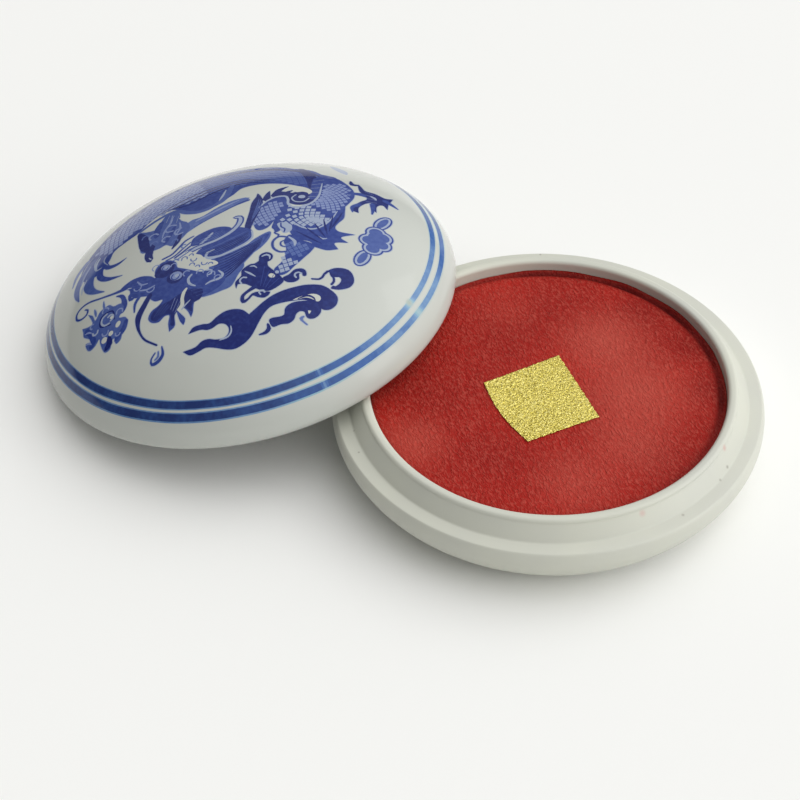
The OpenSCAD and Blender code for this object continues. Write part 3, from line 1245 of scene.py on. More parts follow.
    def far_leg(self) -> None:
        """Draws the slim leg above the mane, its spread paw and the bare line along it."""
        self.stroke(Ink.WASH, (-1.2, 11.4, 1.6), (-3.2, 9, 2.8), (-5, 6, 3), (-6.8, 3, 3.1), (-8.6, 0, 3.4),
                    (-9.6, -2.6, 3))
        self.stroke(Ink.FULL, (-0.4, 11, 0.9), (-2.2, 8.2, 0.5), (-3.8, 5.2, 0.35), (-5.8, 1.8, 0.3),
                    (-7.6, -1, 0.25))
        self.stroke(Ink.THIN, (-2.6, 10.6, 0.3), (-4.4, 7.6, 0.6), (-6.4, 4.2, 0.6), (-8.4, 1.2, 0.5))
        self.wash(Ink.SOFT, (-18.4, 4.8), (-15.4, 4.6), (-13, 1.6), (-10.4, 0.6), (-8.4, -1.6), (-8.4, -4.6),
                  (-9.4, -7.6), (-11.4, -7.4), (-12.6, -8.6), (-14.6, -9.6), (-17, -9.8), (-19.4, -6.6),
                  (-21.8, -4), (-22.4, -2.4), (-19.8, -2.4), (-17.6, -1.4), (-18.4, 1.6))
        self.stroke(Ink.DEEP, (-22, -3, 1), (-19.6, -5, 2.4), (-17, -8, 2.4), (-15, -9.2, 1.4))
        self.stroke(Ink.DEEP, (-15.2, -8, 2), (-14.2, -10.8, 2), (-12.9, -12.3, 1.6))
        self.stroke(Ink.FULL, (-18, 1, 1.2), (-17.2, -2, 1.8), (-16, -4.6, 1.2))
        self.stroke(Ink.FULL, (-13, -1, 0.8), (-12.4, -4, 1.2), (-12, -7, 0.8))
        self.stroke(Ink.DEEP, (-9.8, -3.6, 0.8), (-9, -6, 1.2), (-9, -8.6, 0.4))
        self.stroke(Ink.PALE, (-13.6, -11.6, 0.2), (-12.8, -12, 0.4))
        self.stroke(Ink.THIN, (-16.6, 3.6, 0.3), (-15.2, 0.6, 0.6), (-14.8, -2.6, 0.5), (-14, -5, 0.3))
        self.stroke(Ink.THIN, (-12.6, 0.6, 0.3), (-11.2, -1.4, 0.5), (-10.8, -4, 0.3))
        self.curls(Ink.THIN, 0.45, (-13.6, -1.6, 1.4, 60, 260), (-10.6, -2.6, 1.2, 100, 240),
                   (-16.8, -4.4, 1.1, 40, 220), (-12.6, -5.4, 1, 60, 220))
        self.curls(Ink.WASH, 0.4, (-19, -4.6, 0.9, 20, 200), (-15, -7, 0.9, 20, 200), (-9.8, -6, 0.7, 0, 220))
        self.hairs(Ink.PALE, 3, 0.3, ((-17.6, 3.8), (-16.6, 0.8)), ((-14.6, 3.4), (-13.6, 0.6)))
        self.stroke(Ink.BARE, (-5, 13, 0.6), (-5.2, 10, 0.9), (-6.8, 6.6, 0.9), (-8.4, 3.2, 0.9),
                    (-11, 1.9, 0.9), (-13.6, 2.3, 0.5))

    def near_body(self) -> None:
        """Draws the loop of the body at the upper right, with its net of scales."""
        self.wash(Ink.FULL, (8, 28.6), (12, 28.3), (15.5, 26.6), (18.5, 24.3), (20.2, 21.5), (20.7, 18),
                  (20.7, 14), (21.4, 10), (21.2, 6), (19.3, 3.6), (16.5, 4), (14.6, 4.6), (13.2, 3.4),
                  (12.3, 1.2), (10.8, 2.6), (9.7, 5), (9.7, 8), (10.2, 11), (13, 12.3), (14, 15.3),
                  (13.4, 18.7), (11.8, 22), (9.5, 25))
        self.scales(Ink.PALE, 1.55, (16.8, 5.2, 3), (15.4, 8.6, 5.2), (16.6, 12.4, 3.8))
        self.scales(Ink.THIN, 1.35, (17, 13, 3.4), (17.2, 17, 3.2), (16, 21.4, 3), (13, 25.2, 2.2))

    def chest(self) -> None:
        """Draws the scaled chest, the dark neck with its fins and the curl that ends the swirl."""
        self.wash(Ink.FULL, (4.2, 8.5), (4.3, 11.5), (5.3, 13.8), (7, 14.6), (8.4, 13.2), (9.8, 11.4),
                  (10.2, 8), (9.8, 5), (9.7, 2.2), (8.4, 0.6), (6.6, 1.6), (5.2, 4.5))
        self.scales(Ink.THIN, 1.45, (7.6, 2, 1.4), (7, 5, 2.2), (6.8, 8.5, 2.4), (6.9, 12, 1.7))
        self.strokes(Ink.DEEP, [
            ((1.2, 12.6, 1.2), (2.4, 10.2, 2.6), (3.6, 7, 2.3), (4.5, 4, 1.9), (5.2, 1.5, 1.6),
             (6, -0.5, 1.2)),
            ((2.4, 11, 2), (0.9, 13.2, 0.9), (0.1, 14.2, 0.1)),
            ((3.6, 12.2, 2), (2.6, 14.6, 1), (2.2, 16, 0.1)),
            ((4.6, 14.2, 2), (4.1, 17, 1.4), (5, 19.3, 0.2)),
            ((6.3, 15.8, 1.6), (6.6, 17.2, 0.8), (7.2, 18.1, 0.1)),
        ])
        self.dot(Ink.DEEP, 10.4, 15.4, 3.2)
        self.stroke(Ink.DEEP, (4.6, 15.4, 2.2), (6.6, 15.8, 2), (8.6, 15.5, 2.2))
        self.stroke(Ink.FULL, (9, 26, 2.6), (10.5, 22.5, 2.6), (12, 19.5, 2.2), (12.8, 16.5, 1.8))
        self.stroke(Ink.PALE, (3.9, 8.5, 0.35), (4.1, 11.5, 0.5), (5.2, 13.9, 0.6), (7, 14.8, 0.6),
                    (8.3, 13.6, 0.6), (9.3, 12, 0.6), (11, 11.2, 0.6), (12.9, 12.4, 0.6), (13.8, 15, 0.6),
                    (13.5, 18, 0.5), (12.3, 21, 0.4), (10.9, 24, 0.2))
        self.dot(Ink.PALE, 10.4, 16, 0.8)
        self.hairs(Ink.SOFT, 3, 0.3, ((1.8, 12), (3.2, 8.6), (4.4, 4.6)), ((3, 11.6), (4.2, 8), (5, 3)))
        self.hairs(Ink.PALE, 5, 0.3, ((10.2, 26), (8.6, 24.2)), ((13.4, 17.4), (11.6, 16.6)))
        self.curls(Ink.PALE, 0.35, (10.4, 15.4, 1.9, 150, 230))
        self.wash(Ink.BARE, (5.9, 18.6), (7, 17.9), (8.3, 17.5), (9.3, 18.2), (10.6, 18.2), (11.2, 17.6),
                  (11.3, 19), (10, 20), (8, 20.4), (6.3, 20))

    def fur(self) -> None:
        """Draws the flame of fur to the right of the body, and the pale scallops under it."""
        self.wash(Ink.FULL, (20.4, 16.8), (21.7, 14.6), (22.7, 12.2), (22.6, 9.8), (22.8, 8.1), (24.2, 7.3),
                  (27.4, 8.2), (25.4, 5.7), (27.4, 4.9), (25.1, 3.3), (26.6, 1.9), (24.7, 0.4), (22.2, 0.1),
                  (20.4, 1.2), (18, 0.9), (15.6, 1.8), (14.2, 3.8), (15, 5.2), (17.2, 4.6), (19.5, 4.8),
                  (20.9, 7.2), (20.9, 11.5), corners=(6, 8, 10, 12))
        self.stroke(Ink.PALE, (14.2, 5.6, 0.3), (16.5, 5, 0.45), (18.9, 5.4, 0.45), (20.3, 7.6, 0.4),
                    (20.6, 11, 0.35), (20.2, 14, 0.2))
        self.stroke(Ink.PALE, (21, 3.7, 0.2), (22.2, 3.3, 0.5), (23, 3.9, 0.2))
        self.hairs(Ink.DEEP, 6, 0.5, ((21.4, 14), (21.9, 10.5), (22.2, 7.4)),
                   ((16, 3.2), (19.4, 2.4), (22.8, 1.8)))
        self.wash(Ink.PALE, (11, 4), (12.5, 2.5), (14, 1.5), (15, 3), (14, 4.8), (12, 5))
        self.stroke(Ink.FULL, (10.3, 3.8, 0.45), (10.8, 2.4, 0.45), (11.9, 2, 0.45), (12.1, 0.9, 0.45),
                    (13.2, 0.6, 0.45), (13.4, -0.4, 0.4))
        self.stroke(Ink.FULL, (11.6, 4.6, 0.3), (12.3, 3.4, 0.4), (13.4, 3, 0.4), (13.8, 1.9, 0.3))

    def near_leg(self) -> None:
        """Draws the scaled leg and the curl at its elbow."""
        self.wash(Ink.FULL, (15.4, 1.6), (18, 1), (21.6, 0.8), (22, -1.2), (21.5, -4), (20.8, -7),
                  (20.2, -9.5), (18.8, -10.6), (17.3, -9.5), (17.8, -7), (17.5, -4.5), (16.6, -2.5),
                  (15.2, -0.8))
        self.scales(Ink.WASH, 1.45, (18.4, 0.2, 2.4), (19, -4, 1.9))
        self.scales(Ink.PALE, 1.5, (19.1, -5, 1.8), (19, -9.2, 1.2))
        self.stroke(Ink.FULL, (15.4, 0.6, 0.5), (13.6, 0.1, 0.5), (13.1, -1.8, 0.55), (14.2, -3.7, 0.55),
                    (16, -4.3, 0.5), (17.3, -3.6, 0.4))
        self.stroke(Ink.FULL, (15.6, -0.3, 0.3), (14.8, -1.3, 0.35), (15.4, -2.4, 0.4), (16.6, -2.4, 0.3))
        self.stroke(Ink.PALE, (15.6, 0.8, 0.4), (17.4, 0, 0.7), (18, -1.2, 0.4))

    def near_claw(self) -> None:
        """Draws the clenched foot under the near leg, with its knobs, hooks and claws."""
        self.wash(Ink.DEEP, (11.6, -10), (12.6, -9.3), (13.3, -8.2), (14.8, -8.4), (16, -9.2), (17.5, -9.8),
                  (19.3, -10.6), (20.6, -11.6), (20, -13.6), (18.8, -15.2), (17, -15.6), (15, -15.4),
                  (13.2, -15.2), (11.8, -15.8), (12, -16.9), (11, -15.4), (11.4, -13.4), (10.8, -12))
        self.stroke(Ink.DEEP, (14.6, -9.5, 2.2), (14, -8, 2), (13.9, -6.8, 2.9))
        self.dot(Ink.DEEP, 14, -6.8, 1.5)
        self.stroke(Ink.PALE, (13.1, -6.9, 0.3), (13.7, -6.1, 0.5), (14.6, -6.2, 0.45), (15, -7, 0.2))
        self.wash(Ink.DEEP, (20, -11), (20.8, -9.5), (21.3, -7.8), (22.5, -6.9), (23.6, -7.2), (24.2, -8.3),
                  (23.6, -8.7), (23, -8), (22.7, -8.6), (23.3, -9.8), (22.7, -11), (21.3, -11.6))
        self.stroke(Ink.DEEP, (15.6, -15.2, 1), (14.6, -17, 0.7), (14.2, -18.4, 0.8), (14.9, -19.5, 0.9),
                    (15.6, -18.6, 0.5), (16, -17.2, 0.6), (17, -16.8, 1.4), (18.3, -16.4, 1.6),
                    (19, -15.6, 0.8))
        self.stroke(Ink.BARE, (15.6, -16.6, 0.2), (15, -17.6, 0.45), (14.9, -18.6, 0.2))
        self.dot(Ink.BARE, 17.6, -11.2, 0.75, 0.8)
        self.dot(Ink.PALE, 18.2, -9.9, 0.45)
        self.curls(Ink.PALE, 0.4, (22.7, -8.9, 0.8, 60, 200), (17.6, -16, 0.6, 20, 250),
                   (12.6, -14.4, 0.9, 80, 180))
        self.hairs(Ink.FULL, 4, 0.4, ((15, -9.4), (16.6, -14.6)), ((19.4, -11.2), (18.4, -14.6)))
        self.stroke(Ink.PALE, (11.6, -12, 0.2), (12.8, -12.2, 0.5), (14.4, -12.6, 0.2))
        self.stroke(Ink.PALE, (12, -10.4, 0.2), (12.8, -10, 0.4), (13.6, -10.3, 0.2))

    def far_claw(self) -> None:
        """Draws the open foot at the upper right."""
        self.stroke(Ink.FULL, (18.2, 22.5, 1.2), (20, 23.6, 1.4), (22.3, 24.4, 2.2), (24.5, 24.5, 3))
        self.wash(Ink.DEEP, (17.3, 28.3), (18.6, 27.5), (20.3, 26.2), (22.5, 26.5), (25, 26.2), (26.2, 27.4),
                  (26.6, 25.8), (27, 24), (28, 21.6), (26.4, 22.6), (25.8, 21.2), (27, 18.6), (25, 20),
                  (24.2, 21.6), (23.4, 20.4), (23.2, 18), (24.2, 16), (22.6, 16.2), (22, 18.3), (22.2, 20.8),
                  (22.6, 22.6), (21.4, 24.2), (19.6, 25), corners=(5, 8, 11, 16))
        self.stroke(Ink.DEEP, (15.2, 28.8, 0.4), (16.5, 27.3, 1.2), (17.5, 27.8, 0.8))
        self.stroke(Ink.PALE, (22.4, 24.6, 0.4), (23.4, 24.4, 0.7), (24.2, 23.8, 0.3))
        self.hairs(Ink.THIN, 4, 0.3, ((20.4, 25.8), (22.6, 25.6)), ((23, 21.6), (25, 22.6)))
        self.strokes(Ink.FULL, [
            ((25.6, 25, 1.4), (27.6, 24.4, 0.9), (29.2, 23.9, 0.3)),
            ((24.6, 21.4, 1.2), (25.8, 19.4, 0.9), (26.6, 17.4, 0.3)),
            ((22.6, 19.4, 1.2), (22, 17.4, 0.9), (23, 15.6, 0.3)),
        ])

    def mane(self) -> None:
        """Draws the three locks of the mane with the pale hairs between them."""
        self.wash(Ink.SOFT, (3.5, -9), (6, -7.5), (8, -5), (9, -2), (10.8, 1), (11.8, -1), (11.6, -4.2),
                  (10.6, -7), (10.2, -9.5), (10.8, -11), (10.6, -13.2), (10.6, -16.5), (9, -18.3), (7, -20),
                  (4.8, -20.8), (3.5, -18), (3.6, -14), (2.5, -11))
        self.wash(Ink.FULL, (3.5, -9.5), (6, -8), (8.2, -5), (9.4, -2.2), (11, 0.4), (11.3, -2.4),
                  (10.8, -6), (9.6, -9.4), (9.2, -12.8), (8.2, -15.2), (5.8, -14), (3.8, -12))
        self.wash(Ink.FULL, (3, 0.3), (4.8, 0.6), (6.6, 0.3), (7.8, -1.3), (7.6, -3.6), (6.2, -6),
                  (4.5, -8.2), (2.6, -9.6), (0.5, -10.2), (-1.6, -10.4), (-2, -9), (-1.3, -7.2), (0.4, -5.2),
                  (2.2, -2.8), (3, -1))
        self.wash(Ink.FULL, (2, -0.4), (0.2, 0), (-2, -0.7), (-4, -2.6), (-5.4, -5), (-4.6, -7.4),
                  (-3.2, -7), (-1.6, -6.2), (0.3, -4.6), (1.8, -2.6))
        self.stroke(Ink.PALE, (6.8, 0, 0.2), (8.1, -2, 0.5), (7.5, -4.5, 0.5), (6, -7, 0.5), (4.2, -9, 0.6),
                    (2, -10.4, 0.7), (0.8, -10, 0.6), (0.6, -8.9, 0.7), (1.4, -7.8, 0.8))
        self.stroke(Ink.PALE, (-1.7, -2.6, 0.5), (-2, -4.4, 0.7), (-2.6, -6.6, 0.5))
        self.hairs(Ink.SOFT, 9, 0.3, ((3.8, -10), (6.4, -7.2), (8.8, -3.8), (10.6, -0.6)),
                   ((6, -18.8), (8.8, -14.4), (10.2, -9.4), (11.2, -3)))
        self.hairs(Ink.DEEP, 9, 0.3, ((3.4, -10.6), (6.2, -8), (8.6, -4.8), (10.4, -1.4)),
                   ((5.2, -18.6), (8.2, -14.9), (9.8, -9.9), (11, -3.6)))
        self.hairs(Ink.SOFT, 5, 0.3, ((-1.2, -9), (2, -5.8), (4.6, -2.4), (6, 0)),
                   ((3, -9), (5.4, -6.2), (7, -3.4), (7.4, -1.4)))
        self.hairs(Ink.DEEP, 5, 0.3, ((-0.4, -9.4), (2.8, -6), (5.2, -2.8), (6.4, -0.4)),
                   ((2.4, -9.4), (4.9, -6.8), (6.6, -4), (7.2, -2)))
        self.hairs(Ink.WASH, 4, 0.22, ((-4.6, -6.6), (-2.4, -4.4), (-0.2, -1.6)),
                   ((-2.6, -6.6), (-0.4, -4.6), (1.6, -1.6)))

    def horn(self) -> None:
        """Draws the pale horn that lies along the mane, with its dark edge."""
        horn = ((0.6, 3.6, 0.5), (1.6, 3.9, 0.8), (2.5, 2.6, 1), (2.8, 0.6, 0.9), (2.3, -1.8, 0.9),
                (0.6, -4.6, 0.8), (-1.4, -6.5, 0.8), (-3, -8, 0.9), (-4.4, -9.6, 0.9))
        self.stroke(Ink.FULL, *((x, y, width + 0.6) for x, y, width in horn))
        self.stroke(Ink.PALE, *((x, y, width - 0.1) for x, y, width in horn))

    def forehead(self) -> None:
        """Draws the bare brow and the outlined locks behind it."""
        self.wash(Ink.BARE, (-4.6, -9), (-2.4, -9.6), (-0.5, -9.8), (1, -10.8), (3.6, -10.8), (4.7, -11.5),
                  (3.2, -12.8), (1.2, -13.8), (-0.6, -13.6), (-2.4, -13.4), (-3.6, -12.4), (-5, -11.6))
        self.strokes(Ink.FULL, [
            ((-9.6, -12, 0.5), (-8, -10.4, 0.5), (-7.4, -8.2, 0.5), (-7, -6, 0.5), (-5.8, -4.2, 0.4)),
            ((-6.6, -11.4, 0.5), (-5.6, -9.6, 0.5), (-4.8, -7.6, 0.5), (-3.6, -5.4, 0.4)),
            ((-8.4, -12.4, 0.4), (-7, -10.8, 0.4), (-6.2, -8.6, 0.4), (-5.4, -6.2, 0.3)),
        ])
        self.stroke(Ink.WASH, (-5.6, -11.6, 0.3), (-4.4, -9.6, 0.4), (-3.6, -8, 0.3))
        self.curls(Ink.WASH, 0.32, (-4, -11.4, 0.7, 0, 230), (-1.7, -11.2, 0.7, 190, 200),
                   (-1.2, -12.9, 0.6, 0, 200), (1.4, -11.8, 0.7, 180, 190), (3, -11.9, 0.5, 20, 180),
                   (-5.8, -12.4, 0.7, 40, 250), (0.4, -13.2, 0.5, 0, 180), (-2.9, -10.2, 0.5, 0, 200),
                   (-6.4, -7.6, 0.6, 80, 240))

    def head(self) -> None:
        """Draws the head in profile, with its eyes, jaw, tusk and beard."""
        self.wash(Ink.FULL, (-16.2, -20.6), (-14.7, -18.3), (-12.4, -17.1), (-9.8, -17), (-8.4, -17.4),
                  (-9.6, -15.4), (-9.3, -13.2), (-7.6, -12.2), (-5.6, -12.6), (-4.4, -14), (-2.6, -14.2),
                  (0, -14.4), (2, -14.4), (3.6, -13.4), (5.2, -13), (7.2, -13.4), (8.4, -15), (8.2, -17),
                  (6.8, -19.3), (5.2, -21), (4.4, -22.3), (5.2, -24.5), (5.4, -25.9), (3.8, -24.6),
                  (2.4, -24.2), (1.4, -26), (2.6, -28.4), (1.9, -30), (0.8, -28.2), (0.2, -26.4),
                  (-0.9, -26.8), (-1.6, -28.2), (-3.2, -28.6), (-4.6, -27.8), (-4.7, -26), (-3.6, -24.4),
                  (-3.4, -22.9), (-5, -23.5), (-6.6, -23), (-7.6, -22.4), (-9.4, -22.6), (-10.8, -23),
                  (-12.4, -22.3), (-13.4, -21), (-14.8, -20.7), corners=(22, 27))
        self.wash(Ink.DEEP, (-9.2, -15.4), (-8.8, -13.6), (-7.4, -12.6), (-5.8, -13), (-5, -14.8),
                  (-5.4, -16.6), (-7.2, -17.4), (-8.8, -17))
        self.wash(Ink.DEEP, (0, -21), (2, -19.4), (4.6, -18.8), (5.4, -21), (4.2, -22.8), (4.9, -24.6),
                  (2.6, -24), (1.4, -26), (2.4, -28.4), (1.4, -28.4), (0.4, -26.2), (-1.2, -26.6),
                  (-2.6, -28.2), (-4.2, -27.4), (-3.6, -24.8), (-1.6, -23))
        self.eye(-7.4, -14.5, 1.5)
        self.eye(-3.5, -16.6, 2.0)
        self.strokes(Ink.PALE, [
            ((0.2, -15.5, 0.4), (0, -16.8, 0.6), (1, -18, 0.6), (2.6, -18.3, 0.3)),
            ((5.8, -13.3, 0.3), (7.2, -14, 0.6), (7, -15.3, 0.6), (5.5, -16.5, 0.5), (4.8, -17.5, 0.3)),
            ((3, -13.8, 0.3), (4.2, -13.5, 0.4), (4.5, -14.5, 0.4), (3.8, -15, 0.3)),
        ])
        self.stroke(Ink.BARE, (0.9, -19.3, 0.5), (0.8, -20.5, 0.8), (1.2, -22, 0.8), (1.9, -23.3, 0.9),
                    (2, -25, 1.4))
        self.stroke(Ink.PALE, (3.2, -22, 0.2), (2.6, -23.6, 0.4), (2.4, -24.6, 0.3))
        self.stroke(Ink.PALE, (-15.3, -21.3, 0.2), (-14.4, -20.6, 0.4), (-13.3, -20.3, 0.2))
        self.stroke(Ink.THIN, (-12.6, -18.6, 0.3), (-11, -19.4, 0.5), (-9.6, -19, 0.3))
        self.stroke(Ink.THIN, (-10.6, -21, 0.3), (-8.8, -20.6, 0.5), (-7.4, -19.4, 0.3))
        self.stroke(Ink.FULL, (1.4, -25, 0.2), (2.6, -26, 0.8), (3.8, -26.9, 1.2), (4.4, -27.8, 0.3))
        self.curls(Ink.THIN, 0.3, (-9.8, -14.6, 0.9, 60, 200), (-5.6, -13.6, 0.7, 20, 200),
                   (-1.2, -15.4, 0.8, 60, 200), (1.8, -14.6, 0.8, 0, 220), (4.6, -14.6, 0.9, 0, 240),
                   (6.6, -15.2, 0.8, 40, 220), (-11.6, -20.2, 0.9, 200, 200), (-8, -20.4, 0.9, 220, 180))
        self.hairs(Ink.SOFT, 5, 0.28, ((-13.6, -19.4), (-10, -18)), ((-12, -21.8), (-8.4, -21.2)))
        self.hairs(Ink.SOFT, 5, 0.25, ((0.4, -18.6), (3, -17.4)), ((4, -20.8), (6, -19.4)))
        self.hairs(Ink.THIN, 3, 0.3, ((-0.6, -22), (-0.2, -25)), ((1, -22.6), (1.2, -25.6)))
        self.hairs(Ink.SOFT, 4, 0.25, ((-2.6, -23.4), (-3.4, -27.4)), ((-0.8, -24), (-1.6, -26.2)))

    def whiskers(self) -> None:
        """Draws the long whiskers, the beard's tendrils and the bud at the end of one."""
        self.stroke(Ink.FULL, (-14.6, -20.1, 1.2), (-16, -21, 0.9), (-18, -21.8, 0.6), (-21, -22.6, 0.5),
                    (-24, -23.2, 0.5), (-25.8, -24.3, 0.5), (-26.3, -25.8, 0.5), (-25.4, -27.2, 0.5),
                    (-23.9, -27.3, 0.5), (-22.9, -26.4, 0.5), (-23.2, -25.2, 0.45), (-24.2, -25, 0.3))
        self.stroke(Ink.DEEP, (-7.2, -22, 1.2), (-7.3, -24.8, 1.4), (-7.3, -27.5, 1.5), (-6.4, -29.6, 0.9),
                    (-5, -31.2, 0.5), (-3, -32.5, 0.45), (0.3, -33.2, 0.4))
        self.stroke(Ink.FULL, (-9.8, -22.5, 0.8), (-9.9, -24.5, 0.7), (-9, -26.5, 0.3))
        self.stroke(Ink.FULL, (1.6, -33.3, 0.3), (2.5, -34.8, 0.7), (2, -36.3, 0.8), (0.8, -37.1, 0.6),
                    (0.2, -36.2, 0.4), (0.6, -34.8, 0.3))
        self.stroke(Ink.WASH, (1.2, -34.4, 0.3), (1.6, -35.4, 0.5), (1.1, -36.2, 0.3))
        self.stroke(Ink.FULL, (-16.3, -22.4, 0.3), (-14.9, -22.4, 0.9), (-13.7, -23.3, 1.1),
                    (-12.8, -24.8, 1.6), (-12.6, -26.3, 1.2), (-13.4, -27, 0.4))
        self.stroke(Ink.FULL, (-12.6, -22.2, 0.8), (-11.8, -23.4, 0.9), (-11, -22.6, 0.6))

    def pearl(self) -> None:
        """Draws the pearl in its flames."""
        self.wash(Ink.SOFT, (-18.8, -26), (-17.2, -24.6), (-15.6, -25), (-13.9, -24.3), (-12.4, -25.5),
                  (-12.6, -27.7), (-11, -27.6), (-9.9, -28.4), (-9.4, -30.1), (-9.7, -31.5), (-9.5, -32.7),
                  (-10.3, -33.7), (-11.4, -32.5), (-11.8, -33.3), (-11.4, -34.7), (-12.4, -35.5),
                  (-13.5, -34.9), (-14.8, -33.6), (-15.6, -32.6), (-16, -33.9), (-17, -34.9), (-18.2, -34.6),
                  (-19.2, -33.4), (-17.8, -33.1), (-18.6, -32.4), (-20.6, -31.8), (-21.4, -30.7),
                  (-22.2, -29.8), (-20.6, -29.6), (-19.6, -29), (-20.4, -28), (-22.3, -26.5), (-20.6, -27),
                  (-19.2, -28.2), (-19, -27), corners=(27, 31))
        self.dot(Ink.BARE, -12, -29.3, 0.6, 1.35)
        self.dot(Ink.BARE, -12.9, -31.4, 0.6)
        self.dot(Ink.BARE, -14, -32.9, 0.75)
        self.stroke(Ink.FULL, (-10.2, -28.4, 1), (-9.9, -30.4, 1.3), (-10.8, -32.8, 1))
        self.stroke(Ink.DEEP, (-13, -32.4, 1), (-12.2, -33.6, 1.6), (-12.6, -34.8, 1))
        self.stroke(Ink.FULL, (-20.6, -30.4, 1), (-18.6, -31.6, 1.2), (-17, -33.2, 1.4), (-17.4, -34.2, 1))
        self.curls(Ink.DEEP, 0.4, (-15.7, -28.1, 2, 0, 320))
        self.curls(Ink.PALE, 0.45, (-15.7, -28.1, 1.5, 120, 200), (-15, -27.8, 0.8, -60, 230),
                   (-17.6, -31, 0.7, 200, 200))
        self.curls(Ink.THIN, 0.35, (-13.2, -26.3, 0.8, 0, 230), (-17.4, -26, 0.8, 30, 200),
                   (-14.6, -31.2, 0.8, 200, 200), (-19.2, -29.6, 0.6, 90, 200), (-11, -31.4, 0.6, 180, 200))
        self.dot(Ink.BARE, -14.7, -27.7, 0.4)
        self.stroke(Ink.THIN, (-20.6, -31.2, 0.2), (-19.6, -30.9, 0.5), (-18.6, -31.1, 0.2))
        self.stroke(Ink.THIN, (-19, -33.6, 0.2), (-18.2, -33.3, 0.5), (-17.4, -33.6, 0.2))
        self.stroke(Ink.WASH, (-21, -25.4, 0.2), (-20.2, -26.3, 0.6), (-19.5, -27.2, 0.3))
        self.stroke(Ink.WASH, (-19.4, -23.5, 0.15), (-18.7, -24.6, 0.5), (-18, -25.5, 0.4))

    def cloud_scroll(self) -> None:
        """Draws the long scroll of cloud along the lower right, its branch and its hooked head."""
        self.wash(Ink.DEEP, (6.5, -29.7), (7, -28), (8.7, -26.9), (10.1, -26.3), (11, -24.5), (12.2, -22.8),
                  (13.8, -21.8), (15.6, -21.4), (17.4, -21.9), (18, -20.5), (18.9, -18.2), (20, -16),
                  (21.5, -14), (23.5, -12), (25.5, -10.4), (28, -9.2), (30, -9.3), (32, -10.2), (32.6, -12),
                  (32, -13.8), (30.6, -14.6), (28.8, -13.9), (26.5, -14.3), (24.5, -15.5), (22.5, -17),
                  (21, -18.5), (20.3, -20.5), (20.1, -23), (19.9, -26), (19.2, -28), (17.8, -29.8),
                  (16, -30.6), (13.5, -31), (11.6, -31.5), (10.3, -32.7), (8.8, -33.8), (6.9, -33.5),
                  (9.2, -32), (10.1, -30.5), (11.4, -29.6), (13, -29.3), (14.5, -28.5), (15, -27.3),
                  (14.6, -26.2), (13.5, -25.6), (12.2, -25.9), (11.2, -27.2), (10.2, -27.9), (8.8, -28.2),
                  corners=(0, 8, 36))
        self.stroke(Ink.PALE, (13.8, -29.2, 0.2), (15.2, -28, 0.4), (15.4, -26.6, 0.35), (14.8, -25.6, 0.2))
        self.wash(Ink.BARE, (24.4, -15.3), (25.6, -13.7), (27.5, -12), (29, -11.9), (29.4, -12.8),
                  (28.9, -13.4), (27.8, -13.3), (26.5, -13.6), (25.3, -14.7))
        self.stroke(Ink.DEEP, (25.2, -14.6, 0.2), (26.6, -13, 0.5), (28, -12.9, 0.4), (28.6, -13.5, 0.2))
        self.wash(Ink.DEEP, (24.8, -15.7), (26.5, -14.5), (28.2, -13.6), (29.8, -13.8), (30.5, -14.8),
                  (30.6, -15.9), (30.1, -17.2), (29.1, -17.9), (28.3, -17.6), (27.7, -16.9), (26.8, -17.2),
                  (26.4, -18.1), (26.5, -19.4), (25.9, -20.7), (24.5, -21.6), (23.2, -22.8), (21.9, -21.8),
                  (22.2, -21), (23.5, -20.1), (24.2, -19.3), (23.8, -18), (24, -16.9))
        self.wash(Ink.BARE, (28.2, -16.2), (28.8, -16), (28.7, -16.9))
        self.stroke(Ink.WASH, (28, -17.9, 0.3), (27.7, -18.6, 0.7), (28.3, -19, 0.4), (29.3, -19.3, 0.3))
        self.stroke(Ink.DEEP, (22, -22.6, 0.5), (22.6, -23.4, 0.9), (22.3, -24.5, 0.7), (21.3, -25.4, 0.3))
        self.wash(Ink.DEEP, (27.5, -5), (28.4, -3.6), (29.9, -2.7), (31.3, -2.6), (32.6, -3.6), (33.3, -5.1),
                  (33.1, -6.7), (32, -8.1), (30.9, -8.8), (30, -9), (30.1, -8.1), (30.6, -8), (31, -6.9),
                  (30.9, -5.8), (30.2, -5.4), (29.3, -6), (28.4, -5.8), (28, -5.3))
        self.stroke(Ink.DEEP, (28.7, -5.8, 0.5), (29.3, -6.1, 0.5), (29.8, -7, 0.5), (29.7, -8, 0.5))
        self.stroke(Ink.DEEP, (25.6, -8.6, 0.4), (26.9, -8, 0.45), (27.3, -7.1, 0.5), (27.3, -6.2, 0.5),
                    (27.6, -5.1, 0.6))

    def small_cloud(self) -> None:
        """Draws the lobed cloud near the rim between two small ovals, each dark with a pale ring."""
        ovals = ((29.9, 15.7, 1.6, 3.1), (31.8, 2.4, 1.6, 2.8))
        lobes = ((30.4, 11.6, 2.2, 2.2), (32.2, 10.8, 2.3, 2.3), (33.2, 8.6, 2.1, 2.1), (31.6, 8.8, 2.8, 2.8),
                 (32.2, 6.4, 2.2, 2.2), (30.3, 8.4, 2.1, 2.1), (30.9, 10.2, 2.2, 2.2))
        for group in (ovals, lobes):
            for ink, inset in ((Ink.FULL, 0), (Ink.PALE, 0.35), (Ink.SOFT, 0.8)):
                for x, y, wide, tall in group:
                    self.dot(ink, x, y, wide - inset, (tall - inset) / (wide - inset))

